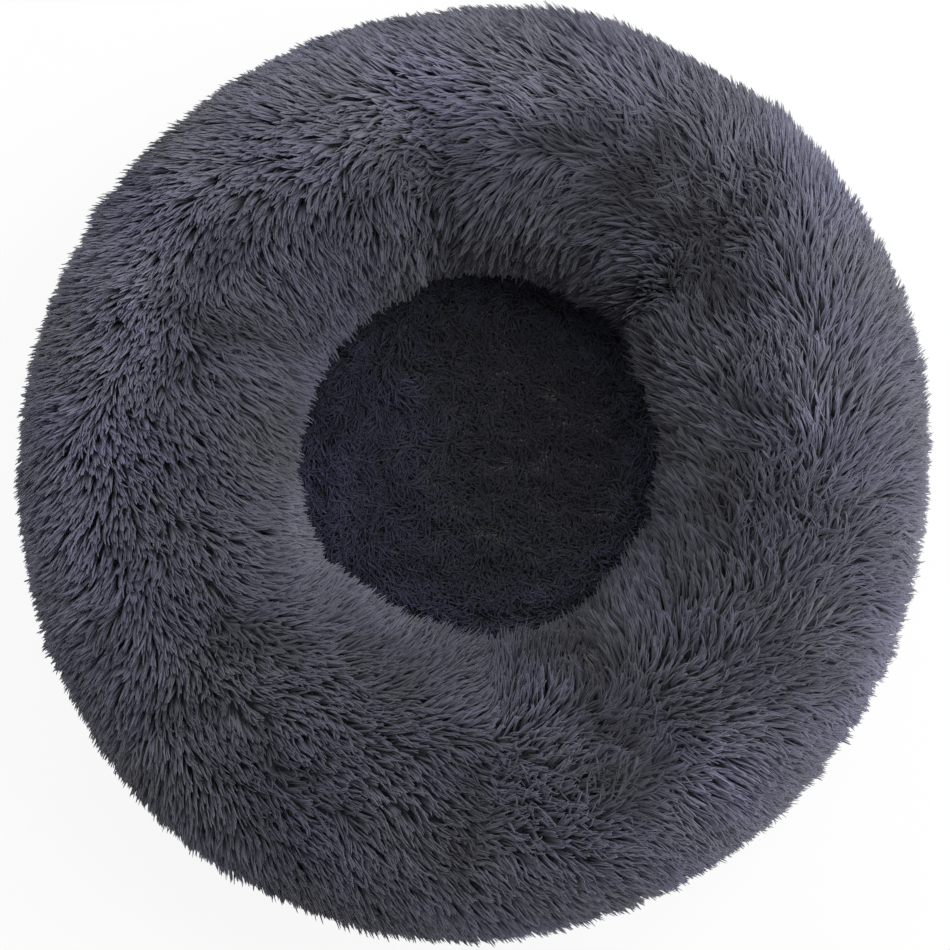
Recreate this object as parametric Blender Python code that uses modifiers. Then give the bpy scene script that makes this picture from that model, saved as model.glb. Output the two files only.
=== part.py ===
"""A round pet bed: a long-pile plush bolster ring around a sunken sleeping pad, on a non-slip base with a zip.

Metres, +Z up. The origin is on the floor under the middle of the bed. The zip runs along X across the underside.
"""

import math

import bmesh
import bpy
import numpy as np
from mathutils import Vector

# Fits between pieces that touch
FIT_GAP = 0.0003
PAD_CLEARANCE = 0.0006

# Bolster ring, measured over its pile
OUTER_RADIUS = 0.295
HOLE_RADIUS = 0.118
BOLSTER_HEIGHT = 0.192
BELLY_HEIGHT = 0.086
SECTION_POWER_SHARE = 2.3
UNDERSIDE_SHARE = 1.12
PILE_DEPTH = 0.024
INNER_SEAM_THICKNESS = 0.003
OUTER_SEAM_THICKNESS = 0.010
SEAM_TAPER_DEGREES = 36
INNER_SEAM_HEIGHT = 0.045
RING_STEPS = 48
PILE_POINTS = 16
BACKING_POINTS = 9
FLANK_POINTS = 4

# Bolster liner and its long seam
LINER_THICKNESS = 0.001
LINER_SEAM_GAP = 0.001

# How the stuffed bed has settled out of its turned shape
SETTLE_HEIGHT = 0.040
HOLE_SHIFT_RIGHT = 0.0038
HOLE_SHIFT_BACK = 0.0107
OUT_OF_ROUND = 0.0056
OUT_OF_ROUND_HEADING = 65
PUCKER_DEPTH = 0.012
PUCKER_SPREAD_DEGREES = 8
PUCKER_RISE = 0.045
PUCKER_HEADINGS_AND_DEPTH_SHARES = (
    (42, 1.0),
    (101, 0.75),
    (151, 0.45),
    (214, 0.4),
    (274, 0.6),
    (302, 0.8),
)

# Sleeping pad, measured over its pile
PAD_CROWN_HEIGHT = 0.062
PAD_PILE_DEPTH = 0.012
PAD_RADIUS_SHARES = (0, 0.22, 0.45, 0.75, 1)
PAD_SPLIT_STEPS = 1

# Base cloth and the binding round its edge
BASE_THICKNESS = 0.001
BINDING_WIDTH = 0.006
BINDING_HEIGHT = 0.0034
BINDING_CORNERS = 6
BASE_STEPS = 26
BASE_COLUMN_SHARES = (0, 0.045, 0.1, 0.18, 0.36, 0.66, 1)

# Zip
ZIP_LENGTH = 0.360
COIL_DIAMETER = 0.0024
COIL_SPACING = 0.0012
COIL_SIDES = 8
TAPE_WIDTH = 0.0145
TAPE_THICKNESS = 0.0006
TAPE_TAIL = 0.008
TAPE_INSET = 0.0005
STOP_LENGTH = 0.004
SLOT_WIDTH = 0.012
SLOT_END_MARGIN = 0.003
SLOT_END_SLANT = 0.004

# Zip slider and its bail
SLIDER_LENGTH = 0.0095
SLIDER_PLATE = 0.0011
SLIDER_WALL = 0.0010
SLIDER_CLEARANCE = 0.0003
SLIDER_POST_LENGTH = 0.003
SLIDER_EDGE = 0.0003
BAIL_WIDTH = 0.0018
BAIL_BAR = 0.0009
BAIL_FOOT = 0.0010
JOIN_DEPTH = 0.0002

# Pull tab
PULL_LENGTH = 0.022
PULL_THICKNESS = 0.0012
PULL_BAR = 0.0012
PULL_ARM = 0.0013
PULL_TIP_WIDTH = 0.0044
PULL_CLEARANCE = 0.00025
PULL_HOLE_DIAMETER = 0.0022
PULL_CORNER_STEPS = 8
FLOOR_CLEARANCE = 0.001

# Groove that the base cloth and the inserts make over the zip
GROOVE_FLAT_WIDTH = 0.034
GROOVE_FADE = 0.028
INSERT_GROOVE_FLAT_WIDTH = 0.052
INSERT_GROOVE_FADE = 0.034
INSERT_GROOVE_ROOM = 0.0005
GROOVE_END_MARGIN = 0.018
GROOVE_END_FADE = 0.036
GROOVE_FADE_HEIGHT = 0.044

MERGE_WITHIN = 0.00001
SHARP_DEGREES = 40
STATION_GAP_DEGREES = 2

# Bolster section, from its middle
MID_RADIUS = (OUTER_RADIUS + HOLE_RADIUS) / 2
BACKING_REACH = (OUTER_RADIUS - HOLE_RADIUS) / 2 - PILE_DEPTH
BACKING_RISE = BOLSTER_HEIGHT - BELLY_HEIGHT - PILE_DEPTH
BACKING_DROP = BELLY_HEIGHT * UNDERSIDE_SHARE
OUTER_SEAM_HEIGHT = BASE_THICKNESS + BINDING_HEIGHT + 2 * FIT_GAP

# Zip heights, from the floor up
BAIL_CLEAR = math.hypot(PULL_THICKNESS, PULL_BAR) + 2 * PULL_CLEARANCE
PLATE_UNDERSIDE = FLOOR_CLEARANCE + BAIL_BAR + BAIL_CLEAR
PULL_AXIS_HEIGHT = PLATE_UNDERSIDE - BAIL_CLEAR / 2
COIL_UNDERSIDE = PLATE_UNDERSIDE + SLIDER_PLATE + SLIDER_CLEARANCE
TAPE_UNDERSIDE = COIL_UNDERSIDE + COIL_DIAMETER + FIT_GAP
UPPER_PLATE_UNDERSIDE = TAPE_UNDERSIDE + TAPE_THICKNESS + SLIDER_CLEARANCE
UPPER_PLATE_TOP = UPPER_PLATE_UNDERSIDE + SLIDER_PLATE
BASE_LIFT = TAPE_UNDERSIDE - FIT_GAP - BASE_THICKNESS
INSERT_LIFT = UPPER_PLATE_TOP + INSERT_GROOVE_ROOM - BASE_THICKNESS - FIT_GAP

# Zip places across and along
COIL_INNER = COIL_SPACING / 2
COIL_OUTER = COIL_INNER + COIL_DIAMETER
SLIDER_WIDTH = 2 * (COIL_OUTER + SLIDER_CLEARANCE + SLIDER_WALL)
STOP_FACE = ZIP_LENGTH / 2 - STOP_LENGTH
SLIDER_PLACE = STOP_FACE - FIT_GAP - SLIDER_LENGTH / 2


def eased(low, high, values):
    """0 up to low, 1 from high on, and a smooth rise between them."""
    shares = np.clip((values - low) / (high - low), 0, 1)
    return shares * shares * (3 - 2 * shares)


def plain_material(name, colour, roughness, metallic=0):
    material = bpy.data.materials.new(name)
    material.use_nodes = True
    shader = material.node_tree.nodes["Principled BSDF"]
    shader.inputs["Base Color"].default_value = (*colour, 1)
    shader.inputs["Roughness"].default_value = roughness
    shader.inputs["Metallic"].default_value = metallic
    material.diffuse_color = (*colour, 1)
    return material


def new_collection(name):
    collection = bpy.data.collections.new(name)
    bpy.context.scene.collection.children.link(collection)
    return collection


def applied(source, name, collection):
    """A mesh object with the source's evaluated shape, which takes the source's place."""
    bpy.context.view_layer.update()
    evaluated = source.evaluated_get(bpy.context.evaluated_depsgraph_get())
    made = bpy.data.objects.new(name, bpy.data.meshes.new_from_object(evaluated))
    made.matrix_world = source.matrix_world
    bpy.data.objects.remove(source)
    collection.objects.link(made)
    return made


def finished(made, material):
    made.data.materials.clear()
    made.data.materials.append(material)
    made.data.shade_smooth()
    made.data.set_sharp_from_angle(angle=math.radians(SHARP_DEGREES))
    return made


# How the bed settles

def groove_shares(x, y, flat_width, fade):
    """1 over the zip, falling to 0 beside and past it."""
    end = ZIP_LENGTH / 2 + GROOVE_END_MARGIN
    across = 1 - eased(flat_width / 2, flat_width / 2 + fade, np.abs(y))
    along = 1 - eased(end, end + GROOVE_END_FADE, np.abs(x))
    return across * along


def pucker_pull(radius, heading, height):
    """How much of its distance from the section's middle each point loses to the puckers."""
    pull = np.zeros(len(radius))
    for degrees, depth_share in PUCKER_HEADINGS_AND_DEPTH_SHARES:
        turn = np.angle(np.exp(1j * (heading - math.radians(degrees))))
        spread = math.radians(PUCKER_SPREAD_DEGREES)
        pull += depth_share * np.exp(-((turn / spread) ** 2))
    pull *= PUCKER_DEPTH / (OUTER_RADIUS - MID_RADIUS)
    above_pad = eased(PAD_CROWN_HEIGHT, PAD_CROWN_HEIGHT + PUCKER_RISE, height)
    return pull * above_pad * (1 - eased(MID_RADIUS, OUTER_RADIUS, radius))


def settled(points):
    """Where points of the turned bed lie in the stuffed one: puckered, out of round, its hole off centre."""
    x, y, z = points.T
    heading = np.arctan2(y, x)
    radius = np.hypot(x, y)
    pull = pucker_pull(radius, heading, z)
    radius = MID_RADIUS + (radius - MID_RADIUS) * (1 - pull)
    z = BELLY_HEIGHT + (z - BELLY_HEIGHT) * (1 - pull)
    free = eased(OUTER_SEAM_HEIGHT, SETTLE_HEIGHT, z)
    outwards = free * eased(HOLE_RADIUS, OUTER_RADIUS, radius)
    inwards = free - outwards
    swell = OUT_OF_ROUND * np.cos(2 * (heading - math.radians(OUT_OF_ROUND_HEADING)))
    radius = radius + swell * outwards
    x = radius * np.cos(heading) + HOLE_SHIFT_RIGHT * inwards
    y = radius * np.sin(heading) + HOLE_SHIFT_BACK * inwards
    groove = groove_shares(x, y, INSERT_GROOVE_FLAT_WIDTH, INSERT_GROOVE_FADE)
    z = z + INSERT_LIFT * groove * (1 - eased(0, GROOVE_FADE_HEIGHT, z))
    return np.stack([x, y, z], axis=1)


def turn_between(first, second):
    """The turn from one angle to another, within half a circle either way."""
    return math.remainder(second - first, 2 * math.pi)


def climbs(start, end):
    """Whether the way between two points of a turned piece goes round its section as it goes round the bed."""
    around = turn_between(math.atan2(start.y, start.x), math.atan2(end.y, end.x))
    start_angle = math.atan2(start.z - BELLY_HEIGHT, start.xy.length - MID_RADIUS)
    end_angle = math.atan2(end.z - BELLY_HEIGHT, end.xy.length - MID_RADIUS)
    return around * turn_between(start_angle, end_angle) > 0


def split_alike(mesh):
    """Splits each four-sided face along the diagonal that climbs, so that nested skins bend along the same lines."""
    shape = bmesh.new()
    shape.from_mesh(mesh)
    for face in [face for face in shape.faces if len(face.verts) == 4]:
        corners = list(face.verts)
        first = 0 if climbs(corners[0].co, corners[2].co) else 1
        bmesh.utils.face_split(face, corners[first], corners[first + 2])
    shape.to_mesh(mesh)
    shape.free()


def turned(name, section, material, collection):
    """A section of (radius, height) points, clockwise, turned about the bed's axis and settled.

    A section that starts on the axis is a disc's half; any other is a closed loop.
    """
    mesh = bpy.data.meshes.new(name)
    edges = [(i, i + 1) for i in range(len(section) - 1)]
    if section[0][0] > 0:
        edges.append((len(section) - 1, 0))
    mesh.from_pydata([(radius, 0, height) for radius, height in section], edges, [])
    profile = bpy.data.objects.new(name + "_section", mesh)
    collection.objects.link(profile)
    turn = profile.modifiers.new("Turn", "SCREW")
    turn.steps = RING_STEPS
    turn.render_steps = RING_STEPS
    turn.use_merge_vertices = True
    turn.merge_threshold = MERGE_WITHIN
    made = applied(profile, name, collection)
    split_alike(made.data)
    places = np.empty(len(made.data.vertices) * 3)
    made.data.vertices.foreach_get("co", places)
    made.data.vertices.foreach_set("co", settled(places.reshape(-1, 3)).ravel())
    made.data.update()
    return finished(made, material)


# The bolster ring

def oval_point(degrees, reach, rise, drop):
    """A point of the ring's oval section: 0 degrees is outwards, 90 is up."""
    across = math.cos(math.radians(degrees))
    up = math.sin(math.radians(degrees))
    power = 2 / SECTION_POWER_SHARE
    radius = MID_RADIUS + math.copysign(reach * abs(across) ** power, across)
    height = BELLY_HEIGHT + (rise if up > 0 else drop) * math.copysign(abs(up) ** power, up)
    return radius, height


def degrees_below(height, inset):
    """How far round the inset section lies at this height, counted down from the belly."""
    share = (BELLY_HEIGHT - height) / (BACKING_DROP - inset)
    return math.degrees(math.asin(share ** (SECTION_POWER_SHARE / 2)))


def backing_point(degrees, inset):
    """A point this far inside the plush's backing, and no lower than this far above the base cloth."""
    radius, height = oval_point(degrees, BACKING_REACH - inset, BACKING_RISE - inset, BACKING_DROP - inset)
    return radius, max(height, BASE_THICKNESS + inset)


def cover_ends():
    return -degrees_below(OUTER_SEAM_HEIGHT, 0), 180 + degrees_below(INNER_SEAM_HEIGHT, 0)


def pile_point(degrees):
    """A point on the outside of the pile, which thins out towards the cover's two seams."""
    first, last = cover_ends()
    outer = degrees - first < last - degrees
    thickness = OUTER_SEAM_THICKNESS if outer else INNER_SEAM_THICKNESS
    from_seam = degrees - first if outer else last - degrees
    depth = thickness + (PILE_DEPTH - thickness) * float(eased(0, SEAM_TAPER_DEGREES, from_seam))
    radius, height = oval_point(degrees, BACKING_REACH + depth, BACKING_RISE + depth, BACKING_DROP + depth)
    return radius, max(height, OUTER_SEAM_HEIGHT)


def pile_angles():
    return list(np.linspace(*cover_ends(), PILE_POINTS))


def backing_angles():
    """The angles that the backing, the liner and the stuffing share, so that their faces lie side by side."""
    return list(np.linspace(*cover_ends(), BACKING_POINTS))


def bolster_cover(material, collection):
    pile = [pile_point(a) for a in reversed(pile_angles())]
    backing = [backing_point(a, 0) for a in backing_angles()]
    return turned("bolster_cover", pile + backing, material, collection)


def liner_angles():
    """All the way round the ring's section, from its long seam under the ring up the outer side and back."""
    first, last = cover_ends()
    floor = degrees_below(BASE_THICKNESS, 0)
    flank = np.linspace(last, 180 + floor, FLANK_POINTS)[1:]
    return [-floor] + backing_angles() + list(flank)


def bolster_liner(material, collection):
    """The casing is one strip rolled into a tube, so its long seam under the ring stays a fine open joint."""
    def layer(inset):
        round_section = [backing_point(a, inset) for a in liner_angles()]
        height = BASE_THICKNESS + inset
        outer_lip = (MID_RADIUS + LINER_SEAM_GAP / 2, height)
        inner_lip = (MID_RADIUS - LINER_SEAM_GAP / 2, height)
        return [outer_lip] + round_section + [inner_lip]

    outside = layer(FIT_GAP)
    inside = layer(FIT_GAP + LINER_THICKNESS)
    return turned("bolster_liner", outside[::-1] + inside, material, collection)


def bolster_stuffing(material, collection):
    inset = 2 * FIT_GAP + LINER_THICKNESS
    section = [backing_point(a, inset) for a in reversed(liner_angles())]
    middle = (MID_RADIUS, BASE_THICKNESS + inset)
    return turned("bolster_stuffing", section + [middle], material, collection)


# The sleeping pad

def pad_edge_top():
    return pile_point(cover_ends()[1])[1] + INNER_SEAM_THICKNESS


def pad_edge_radius():
    """Just clear of the bolster's pile, where that leans over the pad's edge."""
    above, seam = (pile_point(a) for a in pile_angles()[-2:])
    pile = np.interp(pad_edge_top(), (seam[1], above[1]), (seam[0], above[0]))
    return float(pile) - PAD_CLEARANCE


def pad_top(radius, depth_shares):
    """Height of the pad's plush at this radius: 0 is the backing's underside and 1 the pile's top."""
    share = min(radius / pad_edge_radius(), 1)
    top = pad_edge_top() + (PAD_CROWN_HEIGHT - pad_edge_top()) * (1 - share**3)
    depth = INNER_SEAM_THICKNESS + (PAD_PILE_DEPTH - INNER_SEAM_THICKNESS) * (1 - share**4)
    return top - depth * (1 - depth_shares)


def bolster_flank():
    """The corners of the bolster's side below its inner seam, from the seam down."""
    return [backing_point(a, FIT_GAP) for a in liner_angles()[-FLANK_POINTS:]]


def pad_flank(low, high, inset):
    """Points up the pad's side, which lies along the bolster's flank, from low to high."""
    radii, heights = zip(*reversed(bolster_flank()))
    inner = [height for height in heights if low < height < high]
    return [
        (float(np.interp(height, heights, radii)) - PAD_CLEARANCE - inset, height)
        for height in [low] + inner + [high]
    ]


def pad_radii():
    return [share * pad_edge_radius() for share in PAD_RADIUS_SHARES]


def pad_cover(material, collection):
    top = [(radius, pad_top(radius, 1)) for radius in pad_radii()]
    under = [(radius, pad_top(radius, 0)) for radius in pad_radii()]
    return turned("pad_cover", top + under[::-1], material, collection)


def pad_heights(inset):
    """The underside and the edge of the pad's insert, this far inside its casing."""
    edge = pad_top(pad_edge_radius(), 0) - FIT_GAP
    return BASE_THICKNESS + FIT_GAP + inset, edge - inset


def pad_upper(inset):
    """From the pad's middle out over its top to the edge."""
    return [(radius, pad_top(radius, 0) - FIT_GAP - inset) for radius in pad_radii()]


def pad_under(inset):
    """From the edge of the pad's underside in to its middle."""
    return [(radius, pad_heights(inset)[0]) for radius in pad_radii()[::-1]]


def pad_split_height():
    """The casing's two discs meet at a corner of the bolster's flank."""
    return bolster_flank()[PAD_SPLIT_STEPS][1]


def pad_liner_top(material, collection):
    bottom = pad_split_height() + FIT_GAP / 2
    outside = pad_upper(0) + pad_flank(bottom, pad_heights(0)[1], 0)[::-1]
    inside = pad_upper(LINER_THICKNESS)
    inside += pad_flank(bottom, pad_heights(LINER_THICKNESS)[1], LINER_THICKNESS)[::-1]
    return turned("pad_liner_top", outside + inside[::-1], material, collection)


def pad_liner_bottom(material, collection):
    top = pad_split_height() - FIT_GAP / 2
    outside = pad_flank(pad_heights(0)[0], top, 0)[::-1] + pad_under(0)
    inside = pad_flank(pad_heights(LINER_THICKNESS)[0], top, LINER_THICKNESS)[::-1]
    inside += pad_under(LINER_THICKNESS)
    return turned("pad_liner_bottom", inside[::-1] + outside, material, collection)


def pad_stuffing(material, collection):
    inset = LINER_THICKNESS + FIT_GAP
    section = pad_upper(inset) + pad_flank(*pad_heights(inset), inset)[::-1] + pad_under(inset)
    return turned("pad_stuffing", section, material, collection)


# The base

def binding_inner_radius():
    return backing_point(-degrees_below(OUTER_SEAM_HEIGHT, 0), FIT_GAP)[0] + PAD_CLEARANCE


def base_radius():
    return binding_inner_radius() + BINDING_WIDTH


def base_binding(material, collection):
    """A folded tape with a six-sided section, over the edge of the base cloth and under the plush."""
    middle_radius = binding_inner_radius() + BINDING_WIDTH / 2
    middle_height = BASE_THICKNESS + FIT_GAP + BINDING_HEIGHT / 2
    section = []
    for corner in range(BINDING_CORNERS):
        angle = -2 * math.pi * corner / BINDING_CORNERS
        up = math.sin(angle) / math.sin(2 * math.pi / BINDING_CORNERS)
        radius = middle_radius + BINDING_WIDTH / 2 * math.cos(angle)
        section.append((radius, middle_height + BINDING_HEIGHT / 2 * up))
    return turned("base_binding", section, material, collection)


def slot_edge(x):
    """Half the gap between the two base panels: wide along the zip, and sewn shut past its ends."""
    end = ZIP_LENGTH / 2 + SLOT_END_MARGIN
    past = np.clip((abs(x) - end) / SLOT_END_SLANT, 0, 1)
    return SLOT_WIDTH / 2 * (1 - past) + FIT_GAP / 2 * past


def base_panel(name, side, material, collection):
    """Half of the base cloth: a grid laid out from the zip's slot to the round edge, and given its thickness."""
    slot_end = ZIP_LENGTH / 2 + SLOT_END_MARGIN
    ends = [math.acos(x / base_radius()) for x in (slot_end, slot_end + SLOT_END_SLANT)]
    first = 1 / BASE_STEPS
    even = np.linspace(first, math.pi - first, BASE_STEPS)
    near = math.radians(STATION_GAP_DEGREES)
    stations = [a for a in even if min(abs(abs(a - math.pi / 2) - abs(e - math.pi / 2)) for e in ends) > near]
    stations = sorted(stations + ends + [math.pi - e for e in ends])
    sheet = bmesh.new()
    columns = len(BASE_COLUMN_SHARES) - 1
    bmesh.ops.create_grid(sheet, x_segments=len(stations) - 1, y_segments=columns, size=1)
    for vertex in sheet.verts:
        angle = stations[round((vertex.co.x + 1) / 2 * (len(stations) - 1))]
        share = BASE_COLUMN_SHARES[round((vertex.co.y + 1) / 2 * columns)]
        x = base_radius() * math.cos(angle)
        edge = slot_edge(x)
        y = edge + share * (base_radius() * math.sin(angle) - edge)
        groove = float(groove_shares(x, y, GROOVE_FLAT_WIDTH, GROOVE_FADE))
        vertex.co = (x, side * y, BASE_LIFT * groove)
    sheet.normal_update()
    up = [face for face in sheet.faces if face.normal.z > 0]
    bmesh.ops.reverse_faces(sheet, faces=up)
    mesh = bpy.data.meshes.new(name)
    sheet.to_mesh(mesh)
    sheet.free()
    panel = bpy.data.objects.new(name, mesh)
    collection.objects.link(panel)
    thickness = panel.modifiers.new("Thickness", "SOLIDIFY")
    thickness.thickness = BASE_THICKNESS
    thickness.offset = -1
    return finished(panel, material)


# The zip

def box(name, low, high, collection):
    """A box from its lowest to its highest corner, with its origin at its middle."""
    low, high = Vector(low), Vector(high)
    solid = bmesh.new()
    bmesh.ops.create_cube(solid, size=1)
    bmesh.ops.scale(solid, vec=high - low, verts=solid.verts)
    mesh = bpy.data.meshes.new(name)
    solid.to_mesh(mesh)
    solid.free()
    made = bpy.data.objects.new(name, mesh)
    made.location = (low + high) / 2
    collection.objects.link(made)
    return made


def softened(made, width):
    edge = made.modifiers.new("Edges", "BEVEL")
    edge.width = width
    edge.segments = 2
    return made


def mirrored_sides():
    return (("front", -1), ("rear", 1))


def across(side, near, far):
    """The span in Y of a piece that lies from near to far off the zip's middle line, on one side."""
    return sorted((side * near, side * far))


def zip_tape(name, side, material, collection):
    reach = ZIP_LENGTH / 2 + TAPE_TAIL
    near, far = across(side, COIL_INNER + TAPE_INSET, COIL_INNER + TAPE_INSET + TAPE_WIDTH)
    low = (-reach, near, TAPE_UNDERSIDE)
    high = (reach, far, TAPE_UNDERSIDE + TAPE_THICKNESS)
    return finished(box(name, low, high, collection), material)


def zip_coil(name, side, material, collection):
    """One half of the coil, as the plain tube that its turns fill, between the stops."""
    curve = bpy.data.curves.new(name, "CURVE")
    curve.dimensions = "3D"
    curve.bevel_depth = COIL_DIAMETER / 2
    curve.bevel_resolution = COIL_SIDES // 2 - 2
    curve.use_fill_caps = True
    line = curve.splines.new("POLY")
    line.points.add(1)
    y = side * (COIL_INNER + COIL_DIAMETER / 2)
    height = COIL_UNDERSIDE + COIL_DIAMETER / 2
    reach = STOP_FACE - FIT_GAP
    line.points[0].co = (-reach, y, height, 1)
    line.points[1].co = (reach, y, height, 1)
    tube = bpy.data.objects.new(name, curve)
    collection.objects.link(tube)
    tube.data.materials.append(material)
    return tube


def zip_stop(name, low_y, high_y, end, material, collection):
    """A clip crimped over the coil's end, at one end of the zip."""
    near, far = sorted((end * STOP_FACE, end * (STOP_FACE + STOP_LENGTH)))
    low = (near, low_y, COIL_UNDERSIDE)
    high = (far, high_y, COIL_UNDERSIDE + COIL_DIAMETER)
    return finished(softened(box(name, low, high, collection), SLIDER_EDGE), material)


def joined(made, extra, helpers):
    """Adds a helper solid to the piece."""
    helpers.objects.link(extra)
    extra.hide_render = True
    extra.display_type = "WIRE"
    union = made.modifiers.new("Join " + extra.name, "BOOLEAN")
    union.operation = "UNION"
    union.object = extra


def zip_slider(material, collection, helpers):
    """Two plates round the coil, joined by a post between its halves, with a bail for the pull under them."""
    start = SLIDER_PLACE - SLIDER_LENGTH / 2
    end = SLIDER_PLACE + SLIDER_LENGTH / 2
    side = SLIDER_WIDTH / 2
    plate_top = PLATE_UNDERSIDE + SLIDER_PLATE
    low = (start, -side, PLATE_UNDERSIDE)
    slider = box("zip_slider", low, (end, side, plate_top), collection)
    softened(slider, SLIDER_EDGE)
    post = COIL_INNER - SLIDER_CLEARANCE
    wall_top = TAPE_UNDERSIDE - SLIDER_CLEARANCE
    wall_near = side - SLIDER_WALL
    bail_top = PLATE_UNDERSIDE + JOIN_DEPTH
    bail_low = PLATE_UNDERSIDE - BAIL_CLEAR - BAIL_BAR
    bail_side = BAIL_WIDTH / 2
    foot_near = SLIDER_PLACE + BAIL_CLEAR / 2
    foot_far = foot_near + BAIL_FOOT
    back_near = SLIDER_PLACE - BAIL_CLEAR / 2
    back_far = back_near - BAIL_FOOT
    bar_top = PLATE_UNDERSIDE - BAIL_CLEAR
    foot_low = bar_top - JOIN_DEPTH
    inset = SLIDER_EDGE + JOIN_DEPTH
    shapes = {
        "upper_plate": ((start, -side, UPPER_PLATE_UNDERSIDE), (end, side, UPPER_PLATE_TOP)),
        "post": (
            (end - inset - SLIDER_POST_LENGTH, -post, plate_top - JOIN_DEPTH),
            (end - inset, post, UPPER_PLATE_UNDERSIDE + JOIN_DEPTH),
        ),
        "front_wall": (
            (start + inset, -side + SLIDER_EDGE, plate_top - JOIN_DEPTH - SLIDER_EDGE),
            (end - inset, -wall_near, wall_top),
        ),
        "rear_wall": (
            (start + inset, wall_near, plate_top - JOIN_DEPTH - SLIDER_EDGE),
            (end - inset, side - SLIDER_EDGE, wall_top),
        ),
        "bail_foot": ((foot_near, -bail_side, foot_low), (foot_far, bail_side, bail_top)),
        "bail_heel": ((back_far, -bail_side, foot_low), (back_near, bail_side, bail_top)),
        "bail_bar": ((back_far, -bail_side, bail_low), (foot_far, bail_side, bar_top)),
    }
    for name, (corner, opposite) in shapes.items():
        extra = box("slider_" + name, corner, opposite, helpers)
        helpers.objects.unlink(extra)
        joined(slider, extra, helpers)
    return finished(slider, material)


def pull_outline(half_width, tip_half_width, length):
    """The pull seen flat: square shoulders at the bail, tapering to a round tip."""
    points = [(PULL_BAR / 2, half_width), (PULL_BAR / 2, -half_width)]
    middle = length - tip_half_width
    for step in range(PULL_CORNER_STEPS + 1):
        angle = -math.pi / 2 - math.pi * step / PULL_CORNER_STEPS
        points.append((-middle + tip_half_width * math.cos(angle), tip_half_width * math.sin(angle)))
    return points


def flat_spline(curve, points):
    spline = curve.splines.new("POLY")
    spline.points.add(len(points) - 1)
    for point, (x, y) in zip(spline.points, points):
        point.co = (x, y, 0, 1)
    spline.use_cyclic_u = True


def zip_pull(material, collection):
    """The pull hangs by its end bar in the slider's bail, and turns about that bar."""
    bail_half_length = BAIL_CLEAR / 2 + BAIL_FOOT
    bail_drop = BAIL_CLEAR / 2 + BAIL_BAR
    window_far = math.hypot(bail_half_length, bail_drop) + PULL_CLEARANCE
    window_side = BAIL_WIDTH / 2 + PULL_CLEARANCE
    curve = bpy.data.curves.new("zip_pull", "CURVE")
    curve.dimensions = "2D"
    curve.fill_mode = "BOTH"
    curve.extrude = PULL_THICKNESS / 2
    flat_spline(curve, pull_outline(window_side + PULL_ARM, PULL_TIP_WIDTH / 2, PULL_LENGTH))
    near = -PULL_BAR / 2
    window = [(near, window_side), (-window_far, window_side), (-window_far, -window_side), (near, -window_side)]
    flat_spline(curve, window)
    hole_place = PULL_LENGTH - PULL_TIP_WIDTH / 2
    hole = []
    for step in range(2 * PULL_CORNER_STEPS):
        angle = math.pi * step / PULL_CORNER_STEPS
        reach = PULL_HOLE_DIAMETER / 2
        hole.append((-hole_place + reach * math.cos(angle), reach * math.sin(angle)))
    flat_spline(curve, hole)
    outline = bpy.data.objects.new("zip_pull_outline", curve)
    collection.objects.link(outline)
    pull = applied(outline, "zip_pull", collection)
    weld = bmesh.new()
    weld.from_mesh(pull.data)
    bmesh.ops.remove_doubles(weld, verts=weld.verts, dist=MERGE_WITHIN)
    weld.to_mesh(pull.data)
    weld.free()
    pull.location = (SLIDER_PLACE, 0, PULL_AXIS_HEIGHT)
    return finished(pull, material)


def build():
    for existing in list(bpy.data.objects):
        bpy.data.objects.remove(existing)
    bed = new_collection("Pet bed")
    helpers = new_collection("Helpers")
    helpers.hide_render = True

    plush = plain_material("plush", (0.075, 0.077, 0.098), 0.9)
    pad_plush = plain_material("pad_plush", (0.035, 0.036, 0.048), 0.95)
    casing = plain_material("casing", (0.62, 0.62, 0.63), 0.9)
    fibre = plain_material("fibre", (0.88, 0.88, 0.86), 1.0)
    base_cloth = plain_material("base_cloth", (0.03, 0.03, 0.034), 0.8)
    tape = plain_material("tape", (0.02, 0.02, 0.024), 0.85)
    nylon = plain_material("nylon", (0.025, 0.025, 0.03), 0.4)
    slider_metal = plain_material("slider_metal", (0.09, 0.09, 0.1), 0.35, 0.9)

    bolster_cover(plush, bed)
    bolster_liner(casing, bed)
    bolster_stuffing(fibre, bed)
    pad_cover(pad_plush, bed)
    pad_liner_top(casing, bed)
    pad_liner_bottom(casing, bed)
    pad_stuffing(fibre, bed)
    base_binding(tape, bed)
    for word, side in mirrored_sides():
        base_panel("base_panel_" + word, side, base_cloth, bed)
        zip_tape("zip_tape_" + word, side, tape, bed)
        zip_coil("zip_coil_" + word, side, nylon, bed)
        low_y, high_y = across(side, COIL_INNER, COIL_OUTER)
        zip_stop("zip_top_stop_" + word, low_y, high_y, 1, slider_metal, bed)
    zip_stop("zip_bottom_stop", -COIL_OUTER, COIL_OUTER, -1, slider_metal, bed)
    slider = zip_slider(slider_metal, bed, helpers)
    pull = zip_pull(slider_metal, bed)
    pull.parent = slider
    pull.matrix_parent_inverse = slider.matrix_world.inverted()


build()
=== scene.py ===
"""A round pet bed in long charcoal faux fur, seen from above: its looks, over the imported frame."""

import math

import bpy
import numpy as np
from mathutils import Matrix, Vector
from mathutils.kdtree import KDTree


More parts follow.
